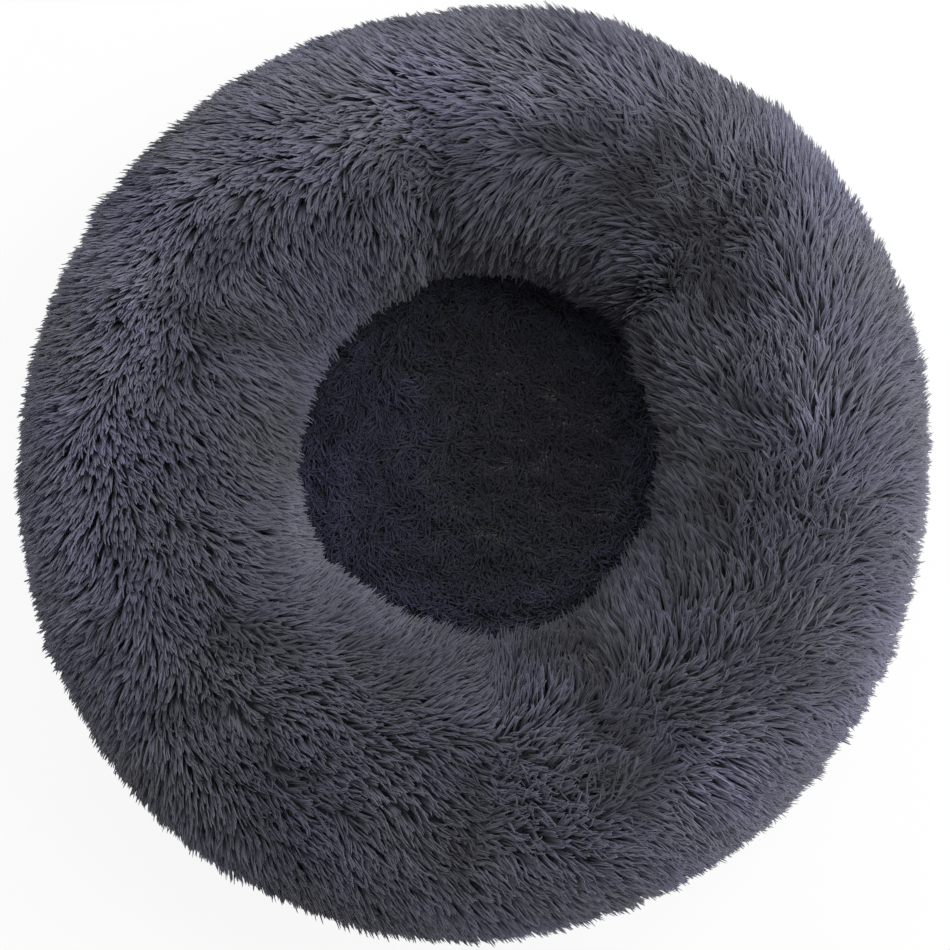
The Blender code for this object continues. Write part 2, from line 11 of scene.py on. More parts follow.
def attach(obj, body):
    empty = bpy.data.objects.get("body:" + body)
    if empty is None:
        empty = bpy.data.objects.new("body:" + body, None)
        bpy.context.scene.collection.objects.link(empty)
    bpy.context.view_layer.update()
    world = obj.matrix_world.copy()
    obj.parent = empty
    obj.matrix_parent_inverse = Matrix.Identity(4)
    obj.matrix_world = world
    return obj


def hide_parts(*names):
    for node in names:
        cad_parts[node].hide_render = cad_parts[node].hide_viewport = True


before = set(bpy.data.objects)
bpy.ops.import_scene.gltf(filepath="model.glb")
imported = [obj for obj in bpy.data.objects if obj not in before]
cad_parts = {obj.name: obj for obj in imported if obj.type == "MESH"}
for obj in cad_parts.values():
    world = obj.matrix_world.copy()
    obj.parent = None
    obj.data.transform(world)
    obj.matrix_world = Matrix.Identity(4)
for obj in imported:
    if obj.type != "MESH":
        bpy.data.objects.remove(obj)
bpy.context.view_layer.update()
rng = np.random.default_rng(20)

# The bed's sizes, as in the part's source, in metres and degrees
OUTER_RADIUS = 0.295
HOLE_RADIUS = 0.118
BOLSTER_HEIGHT = 0.192
BELLY_HEIGHT = 0.086
SECTION_POWER = 2.3
UNDERSIDE = 1.12
PILE_DEPTH = 0.024
INNER_SEAM_THICKNESS = 0.003
OUTER_SEAM_THICKNESS = 0.010
SEAM_TAPER_DEGREES = 36
INNER_SEAM_HEIGHT = 0.045
OUTER_SEAM_HEIGHT = 0.005
SETTLE_HEIGHT = 0.040
HOLE_SHIFT_RIGHT = 0.0038
HOLE_SHIFT_BACK = 0.0107
OUT_OF_ROUND = 0.0056
OUT_OF_ROUND_HEADING = 65
PUCKER_DEPTH = 0.012
PUCKER_SPREAD_DEGREES = 8
PUCKER_RISE = 0.045
PUCKERS = ((42, 1.0), (101, 0.75), (151, 0.45), (214, 0.4), (274, 0.6), (302, 0.8))
FIT_GAP = 0.0003
LINER_THICKNESS = 0.001
PAD_CLEARANCE = 0.0006
PAD_CROWN_HEIGHT = 0.062
PAD_PILE_DEPTH = 0.012
PAD_EDGE_RADIUS = 0.1310
PAD_EDGE_HEIGHT = 0.0467
BASE_THICKNESS = 0.001
BINDING_WIDTH = 0.006
BINDING_HEIGHT = 0.0034
ZIP_LENGTH = 0.360
COIL_DIAMETER = 0.0024
COIL_INNER = 0.0006
COIL_UNDERSIDE = 0.0055
TAPE_UNDERSIDE = 0.0082
TAPE_NEAR = 0.0011
TAPE_WIDTH = 0.0145
TAPE_THICKNESS = 0.0006
TAPE_REACH = 0.188
STOP_FACE = 0.176
SLOT_EDGE = 0.006
SLOT_END = 0.183
SLOT_END_SLANT = 0.004
BASE_LIFT = 0.0069
INSERT_LIFT = 0.0096
GROOVE_FLAT_WIDTH = 0.034
GROOVE_FADE = 0.028
INSERT_GROOVE_FLAT_WIDTH = 0.052
INSERT_GROOVE_FADE = 0.034
GROOVE_END_MARGIN = 0.018
GROOVE_END_FADE = 0.036
GROOVE_FADE_HEIGHT = 0.044
MID_RADIUS = (OUTER_RADIUS + HOLE_RADIUS) / 2
BACKING_REACH = (OUTER_RADIUS - HOLE_RADIUS) / 2 - PILE_DEPTH
BACKING_RISE = BOLSTER_HEIGHT - BELLY_HEIGHT - PILE_DEPTH
BACKING_DROP = BELLY_HEIGHT * UNDERSIDE
MILLIMETRES = 1000

# How the fur lies on the ring: its turn, in degrees, from the way round towards the way out,
# every 15 degrees of heading, at these shares of the way from the hole to the rim
LIE_SHARES = (0.08, 0.32, 0.50, 0.68, 0.92)
LIE = (
    (-38, -14, -16, 33, 88), (-42, 1, -10, 26, 80), (22, 15, -10, 27, 49),
    (14, 26, -7, 6, 32), (-69, -15, 4, 9, 22), (-86, -43, 26, 10, 12),
    (-69, -18, 10, -10, 30), (-67, -15, 11, 2, 44), (-87, -38, 4, -3, 47),
    (-71, -72, -31, -11, 12), (-84, -75, -11, -1, 34), (-74, -34, -14, -23, 59),
    (-39, -20, -31, -24, 38), (-49, -10, -22, 24, 66), (-61, -2, -9, 44, 50),
    (-48, -27, 15, -12, 50), (-25, -2, -4, -5, 21), (-25, 21, 6, 32, 24),
    (-34, 22, 13, 28, 22), (-44, 10, -7, 19, 32), (-80, -23, 7, 42, 52),
    (-45, 3, 24, 29, 69), (-41, -11, 18, 33, 78), (-34, 2, 8, 26, 88),
)
LIE_FLANK_DEGREES = 72

# How far the fur stands past its mean surface at the rim, and how much further it reaches into the
# hollow, every 15 degrees of heading, in millimetres
RIM_REACH = (
    -0.5, 3, 2, 3, -0.5, 3.5, -1, -1, 2.5, 2.5, 3.5, 2.5,
    1.5, -1.5, -0.5, 2.5, 0.5, 3.5, 3.5, 2.5, 3, 3.5, 4, 0,
)
HOLLOW_REACH = (6, 6, 5, 4, 5, 4, 6, 10, 7, 7, 8, 7, 2, 1, 5, 7, 12, 12, 4, 6, 8, 6, 8, 8)

# Where the pile parts and sinks, its strands painted darker there as shade: from x, y to x, y and
# half width, in millimetres, and depth
CREASES = (
    (134, 178, 156, 112, 22, 1.35), (86, 174, 118, 204, 25, 1.5), (68, 138, 86, 148, 10, 0.8),
    (112, 150, 132, 158, 12, 1.7), (34, 130, 64, 124, 10, 0.6), (34, 204, 80, 212, 15, 1.3),
    (176, 204, 174, 166, 15, 1.1), (88, 172, 130, 152, 15, 1.3), (158, 52, 182, 36, 12, 1.1),
    (-20, 136, 62, 126, 9, 0.7), (55, 200, 60, 240, 12, 0.4), (80, 112, 118, 160, 18, 0.5),
    (-28, 140, -34, 225, 10, 0.6), (-12, 180, -14, 200, 9, 0.9), (-78, 146, -68, 172, 14, 0.5),
    (-150, 80, -190, 108, 12, 0.9), (-174, 66, -158, 88, 14, 0.8),
    (-166, 126, -140, 142, 16, 0.9), (-104, -110, -150, -98, 14, 1.0),
    (-160, -150, -196, -148, 14, 0.9), (-132, -180, -112, -238, 18, 0.7),
    (-70, -108, -30, -128, 14, 0.8), (8, -178, -4, -252, 15, 1.1), (86, -192, 110, -196, 20, 1.4),
    (-126, -174, -106, -188, 16, 1.2), (-100, -204, -76, -216, 14, 0.6),
    (36, -106, 62, -110, 14, 1.3), (62, -112, 80, -150, 15, 1.5), (88, -150, 116, -180, 17, 1.5),
    (116, -26, 130, -70, 14, 0.8), (-86, -70, -70, -90, 14, 0.35), (148, 0, 186, -12, 15, 0.6),
    (152, 6, 148, -36, 17, 1.35), (248, -30, 262, -56, 14, 0.4), (200, -110, 224, -128, 18, 0.9),
    (140, -100, 176, -118, 13, 0.7), (222, -70, 234, -80, 14, 0.7),
    (172, -128, 202, -140, 17, 0.8), (224, -34, 252, -36, 14, 0.7),
    (-224, -52, -200, -60, 12, 0.6), (-230, -96, -226, -114, 12, 0.6),
)
# Where the pile stands up in a tuft, its strands painted paler as light on it: x, y and reach,
# in millimetres, and strength
TUFTS = (
    (-45, 243, 30, 1.4), (-82, 194, 24, 1.7), (-40, 204, 12, 1.1), (-30, 172, 13, 0.6),
    (26, 230, 22, 1.4), (180, 84, 26, 1.6), (203, 44, 18, 2.3), (216, 88, 15, 1.7),
    (212, 118, 12, 0.8), (132, 66, 14, 0.8), (100, 136, 12, 0.9), (158, 132, 12, 0.9),
    (122, 221, 18, 0.8), (148, 206, 10, 0.6), (141, -73, 14, 1.2), (162, -20, 12, 0.7),
    (105, -112, 10, 0.6), (224, -4, 16, 0.6), (222, 186, 34, 0.9), (190, 212, 18, 1.9),
    (255, -125, 36, 0.6), (-204, 112, 22, 1.4), (-184, 172, 22, 0.7), (-228, 20, 26, 0.6),
    (-246, -46, 22, 1.3), (-250, -102, 14, 0.8), (-210, 66, 16, 0.6), (-160, -240, 22, 0.6),
    (-90, -150, 16, 0.5), (-48, -187, 24, 0.9), (34, -150, 22, 3.0), (12, 158, 12, 0.7),
    (85, 272, 30, 0.5), (240, 175, 30, 0.5), (285, -50, 30, 0.5), (66, -152, 14, 1.0),
    (44, -184, 16, 1.0), (108, -120, 14, 1.1), (138, -118, 15, 1.4), (156, -184, 28, 1.9),
    (178, -150, 18, 0.9), (178, -222, 18, 0.5),
)
# Where the pile is ruffled: the same
RUFFLED = (
    (179, -15, 36, 1.3), (49, -200, 34, 1.2), (150, 140, 30, 0.9), (-30, 165, 30, 0.8),
)

# Painted light and shade on each side of the ring, paler or darker as the light falls there:
# strength, the heading it faces, least cosine to that heading, power, and the shares of the way
# out between which it fades in
PAINTED_SIDE_LIGHT = (
    (-0.20, 64, 0, 8, ((0.45, 0.30),)),
    (0.13, 145, -0.3, 1, ((0.3, 0.5), (0.93, 0.78))),
    (-0.14, 250, 0, 3, ((0.5, 0.62), (1.04, 0.90))),
    (0.36, -8, -0.75, 1, ((0.84, 0.98),)),
)

# The coat: how far up the pile its roots lie, the steps along each strand, and what moves its
# tips, in metres, or its ends, in degrees of the section
COAT_SHARE = 0.5
STEPS = (0.0, 0.34, 0.68, 0.92, 1.0)
SECTORS = 18
LOCK_SPACING = 0.0042
MID_SPACING = 0.0036
CLUMP_SPACING = 0.015
CLUMP_JITTER = 0.0022
ROOT_SINK = 0.001
LEAST_PER_DEGREE = 2e-4
PAST_OUTER_SEAM = 6
PAST_INNER_SEAM = 4
CLUMP_RISE = 0.0011
CREASE_SINK = 0.006
TUFT_RISE = 0.002
COAT_LIFT = 0.0008
RIGHT_RIM_SCATTER = 0.0034
INNER_SCATTER = 0.003
CREASE_PAINTED_SHADE = 0.50
TUFT_PAINTED_LIGHT = 0.32


def eased(low, high, values):
    """0 at low and 1 at high, smooth between them and level beyond them."""
    shares = np.clip((values - low) / (high - low), 0, 1)
    return shares * shares * (3 - 2 * shares)


def points_of(x, y, z):
    return np.stack(np.broadcast_arrays(x, y, z), axis=-1)


def unit(vectors):
    return vectors / np.maximum(np.linalg.norm(vectors, axis=-1), 1e-9)[..., None]


def lengths_along(path):
    return np.concatenate([[0], np.cumsum(np.linalg.norm(np.diff(path, axis=0), axis=1))])


def turns(count):
    return np.linspace(0, 2 * math.pi, count, endpoint=False)[:, None]


def degrees_below(height):
    """How far below its belly the backing's section reaches this height."""
    return math.degrees(math.asin(((BELLY_HEIGHT - height) / BACKING_DROP) ** (SECTION_POWER / 2)))


FIRST = -degrees_below(OUTER_SEAM_HEIGHT)
LAST = 180 + degrees_below(INNER_SEAM_HEIGHT)


def waves(count, length, seed):
    """Smooth noise as a sum of plane waves of about this length."""
    made = np.random.default_rng(seed)
    ways = unit(made.normal(size=(count, 3)))
    ways *= (2 * math.pi / length) * made.uniform(0.7, 1.4, (count, 1))
    starts = made.uniform(0, 2 * math.pi, count)

    def value(points):
        return np.sin(points @ ways.T + starts).sum(axis=-1) * math.sqrt(2 / count)

    return value


broad_swirl = waves(7, 0.13, 1)
swirl = waves(9, 0.055, 2)
patch = waves(9, 0.09, 5)
ruffle = waves(10, 0.030, 6)
pad_swirl = waves(9, 0.060, 7)
pad_tuft = waves(12, 0.016, 8)
wrinkle = waves(8, 0.045, 9)


def groove_shares(x, y, flat_width, fade):
    end = ZIP_LENGTH / 2 + GROOVE_END_MARGIN
    across = 1 - eased(flat_width / 2, flat_width / 2 + fade, np.abs(y))
    return across * (1 - eased(end, end + GROOVE_END_FADE, np.abs(x)))


def settled(points):
    """Where points of the turned bed lie in the stuffed one, as in the part's source."""
    x, y, z = points[..., 0], points[..., 1], points[..., 2]
    heading = np.arctan2(y, x)
    radius = np.hypot(x, y)
    pull = np.zeros_like(radius)
    for degrees, share in PUCKERS:
        turn = np.angle(np.exp(1j * (heading - math.radians(degrees))))
        pull += share * np.exp(-((turn / math.radians(PUCKER_SPREAD_DEGREES)) ** 2))
    pull *= PUCKER_DEPTH / (OUTER_RADIUS - MID_RADIUS)
    pull *= eased(PAD_CROWN_HEIGHT, PAD_CROWN_HEIGHT + PUCKER_RISE, z)
    pull *= 1 - eased(MID_RADIUS, OUTER_RADIUS, radius)
    radius = MID_RADIUS + (radius - MID_RADIUS) * (1 - pull)
    z = BELLY_HEIGHT + (z - BELLY_HEIGHT) * (1 - pull)
    free = eased(OUTER_SEAM_HEIGHT, SETTLE_HEIGHT, z)
    outwards = free * eased(HOLE_RADIUS, OUTER_RADIUS, radius)
    inwards = free - outwards
    oval_turn = 2 * (heading - math.radians(OUT_OF_ROUND_HEADING))
    radius = radius + OUT_OF_ROUND * np.cos(oval_turn) * outwards
    x = radius * np.cos(heading) + HOLE_SHIFT_RIGHT * inwards
    y = radius * np.sin(heading) + HOLE_SHIFT_BACK * inwards
    lift = INSERT_LIFT * groove_shares(x, y, INSERT_GROOVE_FLAT_WIDTH, INSERT_GROOVE_FADE)
    z = z + lift * (1 - eased(0, GROOVE_FADE_HEIGHT, z))
    return points_of(x, y, z)


def pile_depth(angles):
    outer = (angles - FIRST) < (LAST - angles)
    thin = np.where(outer, OUTER_SEAM_THICKNESS, INNER_SEAM_THICKNESS)
    from_seam = np.where(outer, angles - FIRST, LAST - angles)
    return thin + (PILE_DEPTH - thin) * eased(0, SEAM_TAPER_DEGREES, from_seam)


def oval(angles, depth):
    """(radius, height) of the ring's section, this far outside its backing."""
    across = np.cos(np.radians(angles))
    up = np.sin(np.radians(angles))
    power = 2 / SECTION_POWER
    radius = MID_RADIUS + (BACKING_REACH + depth) * np.sign(across) * np.abs(across) ** power
    tall = np.where(up > 0, BACKING_RISE, BACKING_DROP) + depth
    return radius, BELLY_HEIGHT + tall * np.sign(up) * np.abs(up) ** power


def turned(radius, height, headings):
    return points_of(radius * np.cos(headings), radius * np.sin(headings), height)


def placed(radius, height, headings):
    return settled(turned(radius, height, headings))


def ring(angles, headings, share):
    """Points of the ring: 0 is the backing and 1 the pile's mean surface."""
    radius, height = oval(angles, pile_depth(angles) * share)
    return placed(radius, np.maximum(height, OUTER_SEAM_HEIGHT), headings)


def ring_frame(angles, headings):
    """(point, normal, metres per degree of section, metres per radian of heading) at the roots."""
    step_a, step_h = 0.5, 0.004
    out, along = (
        ring(angles - a, headings + h, COAT_SHARE) - ring(angles + a, headings - h, COAT_SHARE)
        for a, h in ((step_a, 0), (0, step_h))
    )
    per_degree = np.linalg.norm(out, axis=-1) / (2 * step_a)
    per_radian = np.linalg.norm(along, axis=-1) / (2 * step_h)
    return ring(angles, headings, COAT_SHARE), unit(np.cross(out, along)), per_degree, per_radian


def by_heading(table, headings):
    """The values of a table of even steps of heading, read between its rows."""
    table = np.array(table, float)
    place = (np.degrees(headings) % 360) / 360 * len(table)
    row = np.floor(place).astype(int) % len(table)
    share = place - np.floor(place)
    share = share.reshape(share.shape + (1,) * (table.ndim - 1))
    return table[row] * (1 - share) + table[(row + 1) % len(table)] * share


def across_share(angles):
    """How far out a point of the section is: 0 at the hollow and 1 at the rim."""
    across = np.cos(np.radians(angles))
    return 0.5 + 0.5 * np.sign(across) * np.abs(across) ** (2 / SECTION_POWER)


def lie(angles, headings, points):
    """The fur's turn from the way round towards the way out, in radians."""
    row = by_heading(LIE, headings)
    share = across_share(angles) + 0.02 * swirl(points)
    step = np.clip(np.searchsorted(LIE_SHARES, share) - 1, 0, len(LIE_SHARES) - 2)
    low, high = np.array(LIE_SHARES)[step], np.array(LIE_SHARES)[step + 1]
    part = np.clip((share - low) / (high - low), 0, 1)
    index = np.arange(len(row))
    turn = row[index, step] * (1 - part) + row[index, step + 1] * part
    turn = turn + (LIE_FLANK_DEGREES - turn) * eased(5, -40, angles)
    turn = turn + (-LIE_FLANK_DEGREES - turn) * eased(170, 200, angles)
    return np.radians(turn + 3 * broad_swirl(points) + 4 * swirl(points))


def creased(points):
    """The depth of the deepest crease near each point, falling to 0 beside it."""
    most = np.zeros(points.shape[:-1])
    spot = points[..., :2] + 0.004 * np.stack([ruffle(points), swirl(points)], -1)
    for *measures, depth in CREASES:
        measures = np.array(measures) / MILLIMETRES
        start, way, width = measures[:2], measures[2:4] - measures[:2], measures[4]
        along = np.clip(((spot - start) @ way) / (way @ way), 0, 1)
        gap = np.linalg.norm(spot - start - along[..., None] * way, axis=-1)
        most = np.maximum(most, depth * np.exp(-((gap / width) ** 2)))
    return most * eased(0.08, 0.11, points[..., 2])


def gathered_near(spots, points):
    """The strengths of these spots, each fading with the distance from its place."""
    total = np.zeros(points.shape[:-1])
    for *measures, strength in spots:
        x, y, reach = np.array(measures) / MILLIMETRES
        gap = np.linalg.norm(points[..., :2] - (x, y), axis=-1)
        total += strength * np.exp(-((gap / reach) ** 2))
    return total


def painted_ring_light(angles, headings, points):
    """Painted light and shade on the ring's fur: darker on the slope into the hollow, paler beyond
    the crown and at the hollow's left edge, where the light falls, and by side as in the table of
    sides above."""
    share = across_share(angles) + 0.03 * broad_swirl(points)
    lit = (0.5 - 0.5 * np.cos(headings - math.radians(5))) ** 2
    shade = 0.80 + 0.44 * eased(0.34, 0.78, share) + (0.72 * lit - 0.07) * eased(0.11, 0.0, share)
    for strength, side, least, power, fades in PAINTED_SIDE_LIGHT:
        part = strength * np.clip(np.cos(headings - math.radians(side)), least, 1) ** power
        for low, high in fades:
            part = part * eased(low, high, share)
        shade = shade + part
    return shade


def fineness(points):
    """0 where the locks are coarse and blunt, at the left and the bottom, and 1 where fine."""
    return eased(-0.16, 0.20, points[..., :2] @ np.array([0.86, 0.51]) + 0.02 * patch(points))


def rows(spacing, margin):
    """(angles, headings) of roots spread evenly, with jitter, this far inside the ring's seams."""
    grid = np.linspace(FIRST + margin, LAST - margin, 400)
    section = ring(grid, np.full_like(grid, 2.0), COAT_SHARE)
    arc = lengths_along(section)
    angles, headings = [], []
    for row in range(int(arc[-1] / spacing)):
        along = (row + 0.5) * spacing
        radius = np.interp(along, arc, np.hypot(section[:, 0], section[:, 1]))
        number = max(int(2 * math.pi * radius / spacing), 3)
        turn = (np.arange(number) + rng.uniform(0, 1)) / number * 2 * math.pi
        headings.append(turn + rng.uniform(-0.5, 0.5, number) * spacing / radius)
        angles.append(np.interp(along + rng.uniform(-0.6, 0.6, number) * spacing, arc, grid))
    return np.concatenate(angles), np.concatenate(headings)


def combed(angles, headings, length, high, curve, stray, bend):
    """Paths of strands that rise from the undercoat and lie down along the fur's lie.

    Returns points and normals, each (strands, steps, 3).
    """
    points, normals = [], []
    before = 0.0
    for s in STEPS:
        if s > before:
            gone = length * (s - before) * (0.75 + 0.25 * s)
            turn = lie(angles, headings, here) + stray + bend * (s - 0.5)
            angles = angles - np.sin(turn) * gone / np.maximum(per_degree, LEAST_PER_DEGREE)
            angles = np.clip(angles, FIRST - PAST_OUTER_SEAM, LAST + PAST_INNER_SEAM)
            headings = headings + np.cos(turn) * gone / per_radian
            before = s
        here, normal, per_degree, per_radian = ring_frame(angles, headings)
        rise = (high + ROOT_SINK) * (1 - (1 - s) ** curve) - ROOT_SINK
        points.append(here + normal * rise[:, None])
        normals.append(normal)
    return np.stack(points, 1), np.stack(normals, 1)


# Meshes

def new_object(name, data, material=None):
    made = bpy.data.objects.new(name, data)
    bpy.context.scene.collection.objects.link(made)
    if material is not None:
        data.materials.append(material)
    return made


def smooth_object(name, verts, faces, material, hard_edges=False):
    mesh = bpy.data.meshes.new(name)
    mesh.from_pydata(verts.reshape(-1, 3).tolist(), [], faces)
    mesh.update()
    mesh.shade_smooth()
    if hard_edges:
        mesh.set_sharp_from_angle(angle=math.radians(50))
    return new_object(name, mesh, material)


def numbered(grid):
    """The numbers of a grid's points and of their neighbours to the right, round its section."""
    index = np.arange(grid.shape[0] * grid.shape[1]).reshape(grid.shape[:2])
    return index, np.roll(index, -1, axis=1)


def lathe(name, grid, material):
    """A skin over a grid of points (headings, section, 3), closed both ways."""
    index, right = numbered(grid)
    after, right_after = np.roll(index, -1, axis=0), np.roll(right, -1, axis=0)
    faces = np.stack([index, right, right_after, after], -1)
    return smooth_object(name, grid, faces.reshape(-1, 4).tolist(), material)


def bar_faces(grid, way, corners=(0, 1, 2, 3)):
    """The sides and ends of a bar over a grid (stations, section, 3), turned over if way is -1."""
    index, right = numbered(grid)
    sides = np.stack([index[:-1], right[:-1], right[1:], index[1:]], -1).reshape(-1, 4)
    sides = sides[:, ::way][:, corners]
    return sides.tolist() + [index[0, ::-way].tolist(), index[-1, ::way].tolist()]


def both_faces(one, other):
    """Two grids of a sheet's faces as one, round its section."""
    return np.concatenate([one, other[:, ::-1]], axis=1)


def strand_mesh(name, points, normals, widths, tints, shade, flat, sides, material, lowest=0.0008):
    """One mesh of closed tapered strands.

    points (n, k, 3), widths (n, k - 1) at all but the tip, tints (n, 2) random numbers,
    shade (n,) how light each strand is, and flat its thickness over its width.
    """
    n, k = points.shape[:2]
    along = unit(np.gradient(points, axis=1))
    side = unit(np.cross(normals, along))
    up = np.cross(along, side)
    rings = k - 1
    turn = 2 * math.pi * (np.arange(sides) + 0.25) / sides
    cos, sin = np.cos(turn)[:, None], np.sin(turn)[:, None]
    reach = cos * side[:, :rings, None, :] + flat * sin * up[:, :rings, None, :]
    body = points[:, :rings, None, :] + (widths / 2)[:, :, None, None] * reach
    each = rings * sides + 1
    verts = np.empty((n, each, 3), np.float32)
    verts[:, :-1] = body.reshape(n, rings * sides, 3)
    verts[:, -1] = points[:, -1]
    verts[:, :, 2] = np.maximum(verts[:, :, 2], lowest)
    i = np.arange(sides)
    j = (i + 1) % sides
    low = np.arange(rings - 1)[:, None] * sides
    quads = np.stack([low + i, low + j, low + sides + j, low + sides + i], -1).reshape(-1)
    last = (rings - 1) * sides
    tips = np.stack([last + i, last + j, np.full(sides, each - 1)], 1).reshape(-1)
    loops = np.concatenate([quads, tips, i[::-1]]) + (np.arange(n) * each)[:, None]
    sizes = np.tile([4] * (rings - 1) * sides + [3] * sides + [sides], n)
    starts = np.concatenate([[0], np.cumsum(sizes)[:-1]])
    mesh = bpy.data.meshes.new(name)
    mesh.vertices.add(n * each)
    mesh.vertices.foreach_set("co", verts.ravel())
    mesh.loops.add(loops.size)
    mesh.loops.foreach_set("vertex_index", loops.ravel().astype(np.int32))
    mesh.polygons.add(len(sizes))
    mesh.polygons.foreach_set("loop_start", starts.astype(np.int32))
    mesh.polygons.foreach_set("loop_total", sizes.astype(np.int32))
    mesh.update(calc_edges=True)
    mesh.shade_smooth()
    colour = mesh.color_attributes.new("strand", "FLOAT_COLOR", "POINT")
    data = np.ones((n, each, 4), np.float32)
    data[:, :-1, 0] = np.repeat(np.arange(rings) / (k - 1), sides)
    data[:, :, 1:3] = tints[:, None]
    data[:, :, 3] = shade[:, None]
    colour.data.foreach_set("color", data.ravel())
    bake_map(mesh, n, sides, rings)
    return new_object(name, mesh, material)


def bake_map(mesh, n, sides, rings):
    """Each strand has a cell of its own in the unit square, with its sides next to each other."""
    across = math.ceil(math.sqrt(n))
    down = math.ceil(n / across)
    margin, room = 0.04, 0.92
    local = []
    levels = np.arange(rings + 1) / (rings + 1)
    lefts = [(i / sides, (i + 1) / sides) for i in range(sides)]
    for low, high in zip(levels[:-2], levels[1:-1]):
        for left, right in lefts:
            local += [(left, low), (right, low), (right, high), (left, high)]
    for left, right in lefts:
        local += [(left, levels[-2]), (right, levels[-2]), ((left + right) / 2, levels[-1])]
    low = (rings + 0.3) / (rings + 1)
    local += [(0.1, low), (0.9, low)] + ([(0.5, 1)] if sides == 3 else [(0.9, 1), (0.1, 1)])
    corner = np.stack([np.arange(n) % across, np.arange(n) // across], -1)
    uv = (corner[:, None] + margin + room * np.array(local)) / (across, down)
    layer = mesh.uv_layers.new(name="OFBake")
    layer.uv.foreach_set("vector", uv.ravel().astype(np.float32))


def dressed(piece, node):
    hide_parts(node)
    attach(piece, "bed")
    return piece


def on(parent, piece):
    piece.parent = parent


# Materials

def set_up(node, **values):
    """Sets a node's own values, and its inputs, named in_, to a value or to another's output."""
    for key, value in values.items():
        name = key[3:].replace("_", " ")
        if not key.startswith("in_"):
            setattr(node, key, value)
        elif isinstance(value, bpy.types.NodeSocket):
            node.id_data.links.new(value, node.inputs[int(name) if name.isdigit() else name])
        else:
            node.inputs[name].default_value = value
    return node


def add(tree, kind, **values):
    return set_up(tree.nodes.new("ShaderNode" + kind), **values)


def new_material(name):
    material = bpy.data.materials.new(name)
    material.use_nodes = True
    tree = material.node_tree
    return material, tree, tree.nodes["Principled BSDF"]


def ramp(tree, source, stops):
    node = add(tree, "ValToRGB", in_Fac=source)
    while len(node.color_ramp.elements) < len(stops):
        node.color_ramp.elements.new(0.5)
    for element, (place, colour) in zip(node.color_ramp.elements, stops):
        element.position = place
        element.color = (*colour, 1)
    return node.outputs["Color"]


def joined(tree, operation, *values):
    """The result of a math node's operation on the values, one after another."""
    result = values[0]
    for value in values[1:]:
        result = add(tree, "Math", operation=operation, in_0=result, in_1=value).outputs[0]
    return result


def ranged(tree, source, low, high):
    """A value from 0 to 1, brought between low and high."""
    node = add(tree, "MapRange", in_Value=source, in_To_Min=low, in_To_Max=high)
    return node.outputs["Result"]


def noise(tree, scale, detail, roughness=0.5):
    where = add(tree, "TexCoord").outputs["Object"]
    node = add(tree, "TexNoise", in_Vector=where, in_Scale=scale, in_Detail=detail)
    return set_up(node, in_Roughness=roughness).outputs["Fac"]


def scaled_colour(tree, colour, factor):
    return add(tree, "VectorMath", operation="SCALE", in_0=colour, in_Scale=factor).outputs[0]


def bumped(tree, height, strength, distance):
    node = add(tree, "Bump", in_Height=height, in_Strength=strength, in_Distance=distance)
    return node.outputs["Normal"]


def fur_material(name, stops, low, high, cool, warm, roughness):
    """Dark roots, partly painted shade deep in the pile, paler tips, and each strand a little
    lighter, darker, cooler or warmer, with the painted light and shade that each strand carries.
    """
    material, tree, shader = new_material(name)
    strand = add(tree, "Attribute", attribute_name="strand").outputs
    parts = add(tree, "SeparateColor", in_Color=strand["Color"]).outputs
    tinted = add(tree, "Mix", data_type="RGBA", blend_type="MULTIPLY", in_Factor=1)
    set_up(tinted, in_A=ramp(tree, parts["Red"], stops))
    set_up(tinted, in_B=ramp(tree, parts["Blue"], [(0, cool), (1, warm)]))
    lightness = joined(
        tree,
        "MULTIPLY",
        ranged(tree, parts["Green"], low, high),
        strand["Alpha"],
        ranged(tree, noise(tree, 16, 3), 0.88, 1.12),
        ranged(tree, noise(tree, 900, 2), 0.86, 1.14),
    )
    set_up(
        shader,
        in_Base_Color=scaled_colour(tree, tinted.outputs["Result"], lightness),
        in_Roughness=ranged(tree, parts["Red"], roughness + 0.12, roughness),
        in_Specular_IOR_Level=0.25,
        in_Sheen_Weight=0.15,
        in_Sheen_Roughness=0.5,
    )
    return material


def rough_material(name, dark, light, scale, roughness, distance, metallic=0.0, specular=0.3):
    """A matt material that is mottled and bumpy at this scale."""
    material, tree, shader = new_material(name)
    height = noise(tree, scale, 4, 0.65)
    set_up(
        shader,
        in_Base_Color=ramp(tree, height, [(0.3, dark), (0.7, light)]),
        in_Normal=bumped(tree, height, 0.6, distance),
        in_Roughness=ranged(tree, height, roughness - 0.08, roughness + 0.08),
        in_Metallic=metallic,
        in_Specular_IOR_Level=specular,
    )
    return material


def woven_material(name, dark, light, threads, roughness, lean=0.0):
    """Threads over and under each other, this many to the metre, with lean turning the weave."""
    material, tree, shader = new_material(name)
    where = add(tree, "TexCoord").outputs["Object"]
    turn = add(tree, "Mapping", in_Vector=where, in_Rotation=(0, 0, lean))
    bands = []
    for direction, phase in (("X", 0.0), ("Y", 1.57)):
        band = add(tree, "TexWave", bands_direction=direction)
        set_up(band, in_Vector=turn.outputs["Vector"], in_Scale=threads / 6.283)
        bands.append(set_up(band, in_Phase_Offset=phase).outputs["Fac"])
    weave = joined(tree, "MULTIPLY", *bands)
    fuzzy = joined(tree, "ADD", weave, ranged(tree, noise(tree, 1500, 2), 0.0, 0.3))
    colour = ramp(tree, fuzzy, [(0.05, dark), (0.75, light)])
    set_up(
        shader,
        in_Base_Color=scaled_colour(tree, colour, ranged(tree, noise(tree, 25, 3), 0.8, 1.2)),
        in_Normal=bumped(tree, fuzzy, 0.7, 0.0002),
        in_Roughness=ranged(tree, weave, roughness + 0.1, roughness - 0.05),
        in_Specular_IOR_Level=0.3,
        in_Sheen_Weight=0.1,
    )
    return material


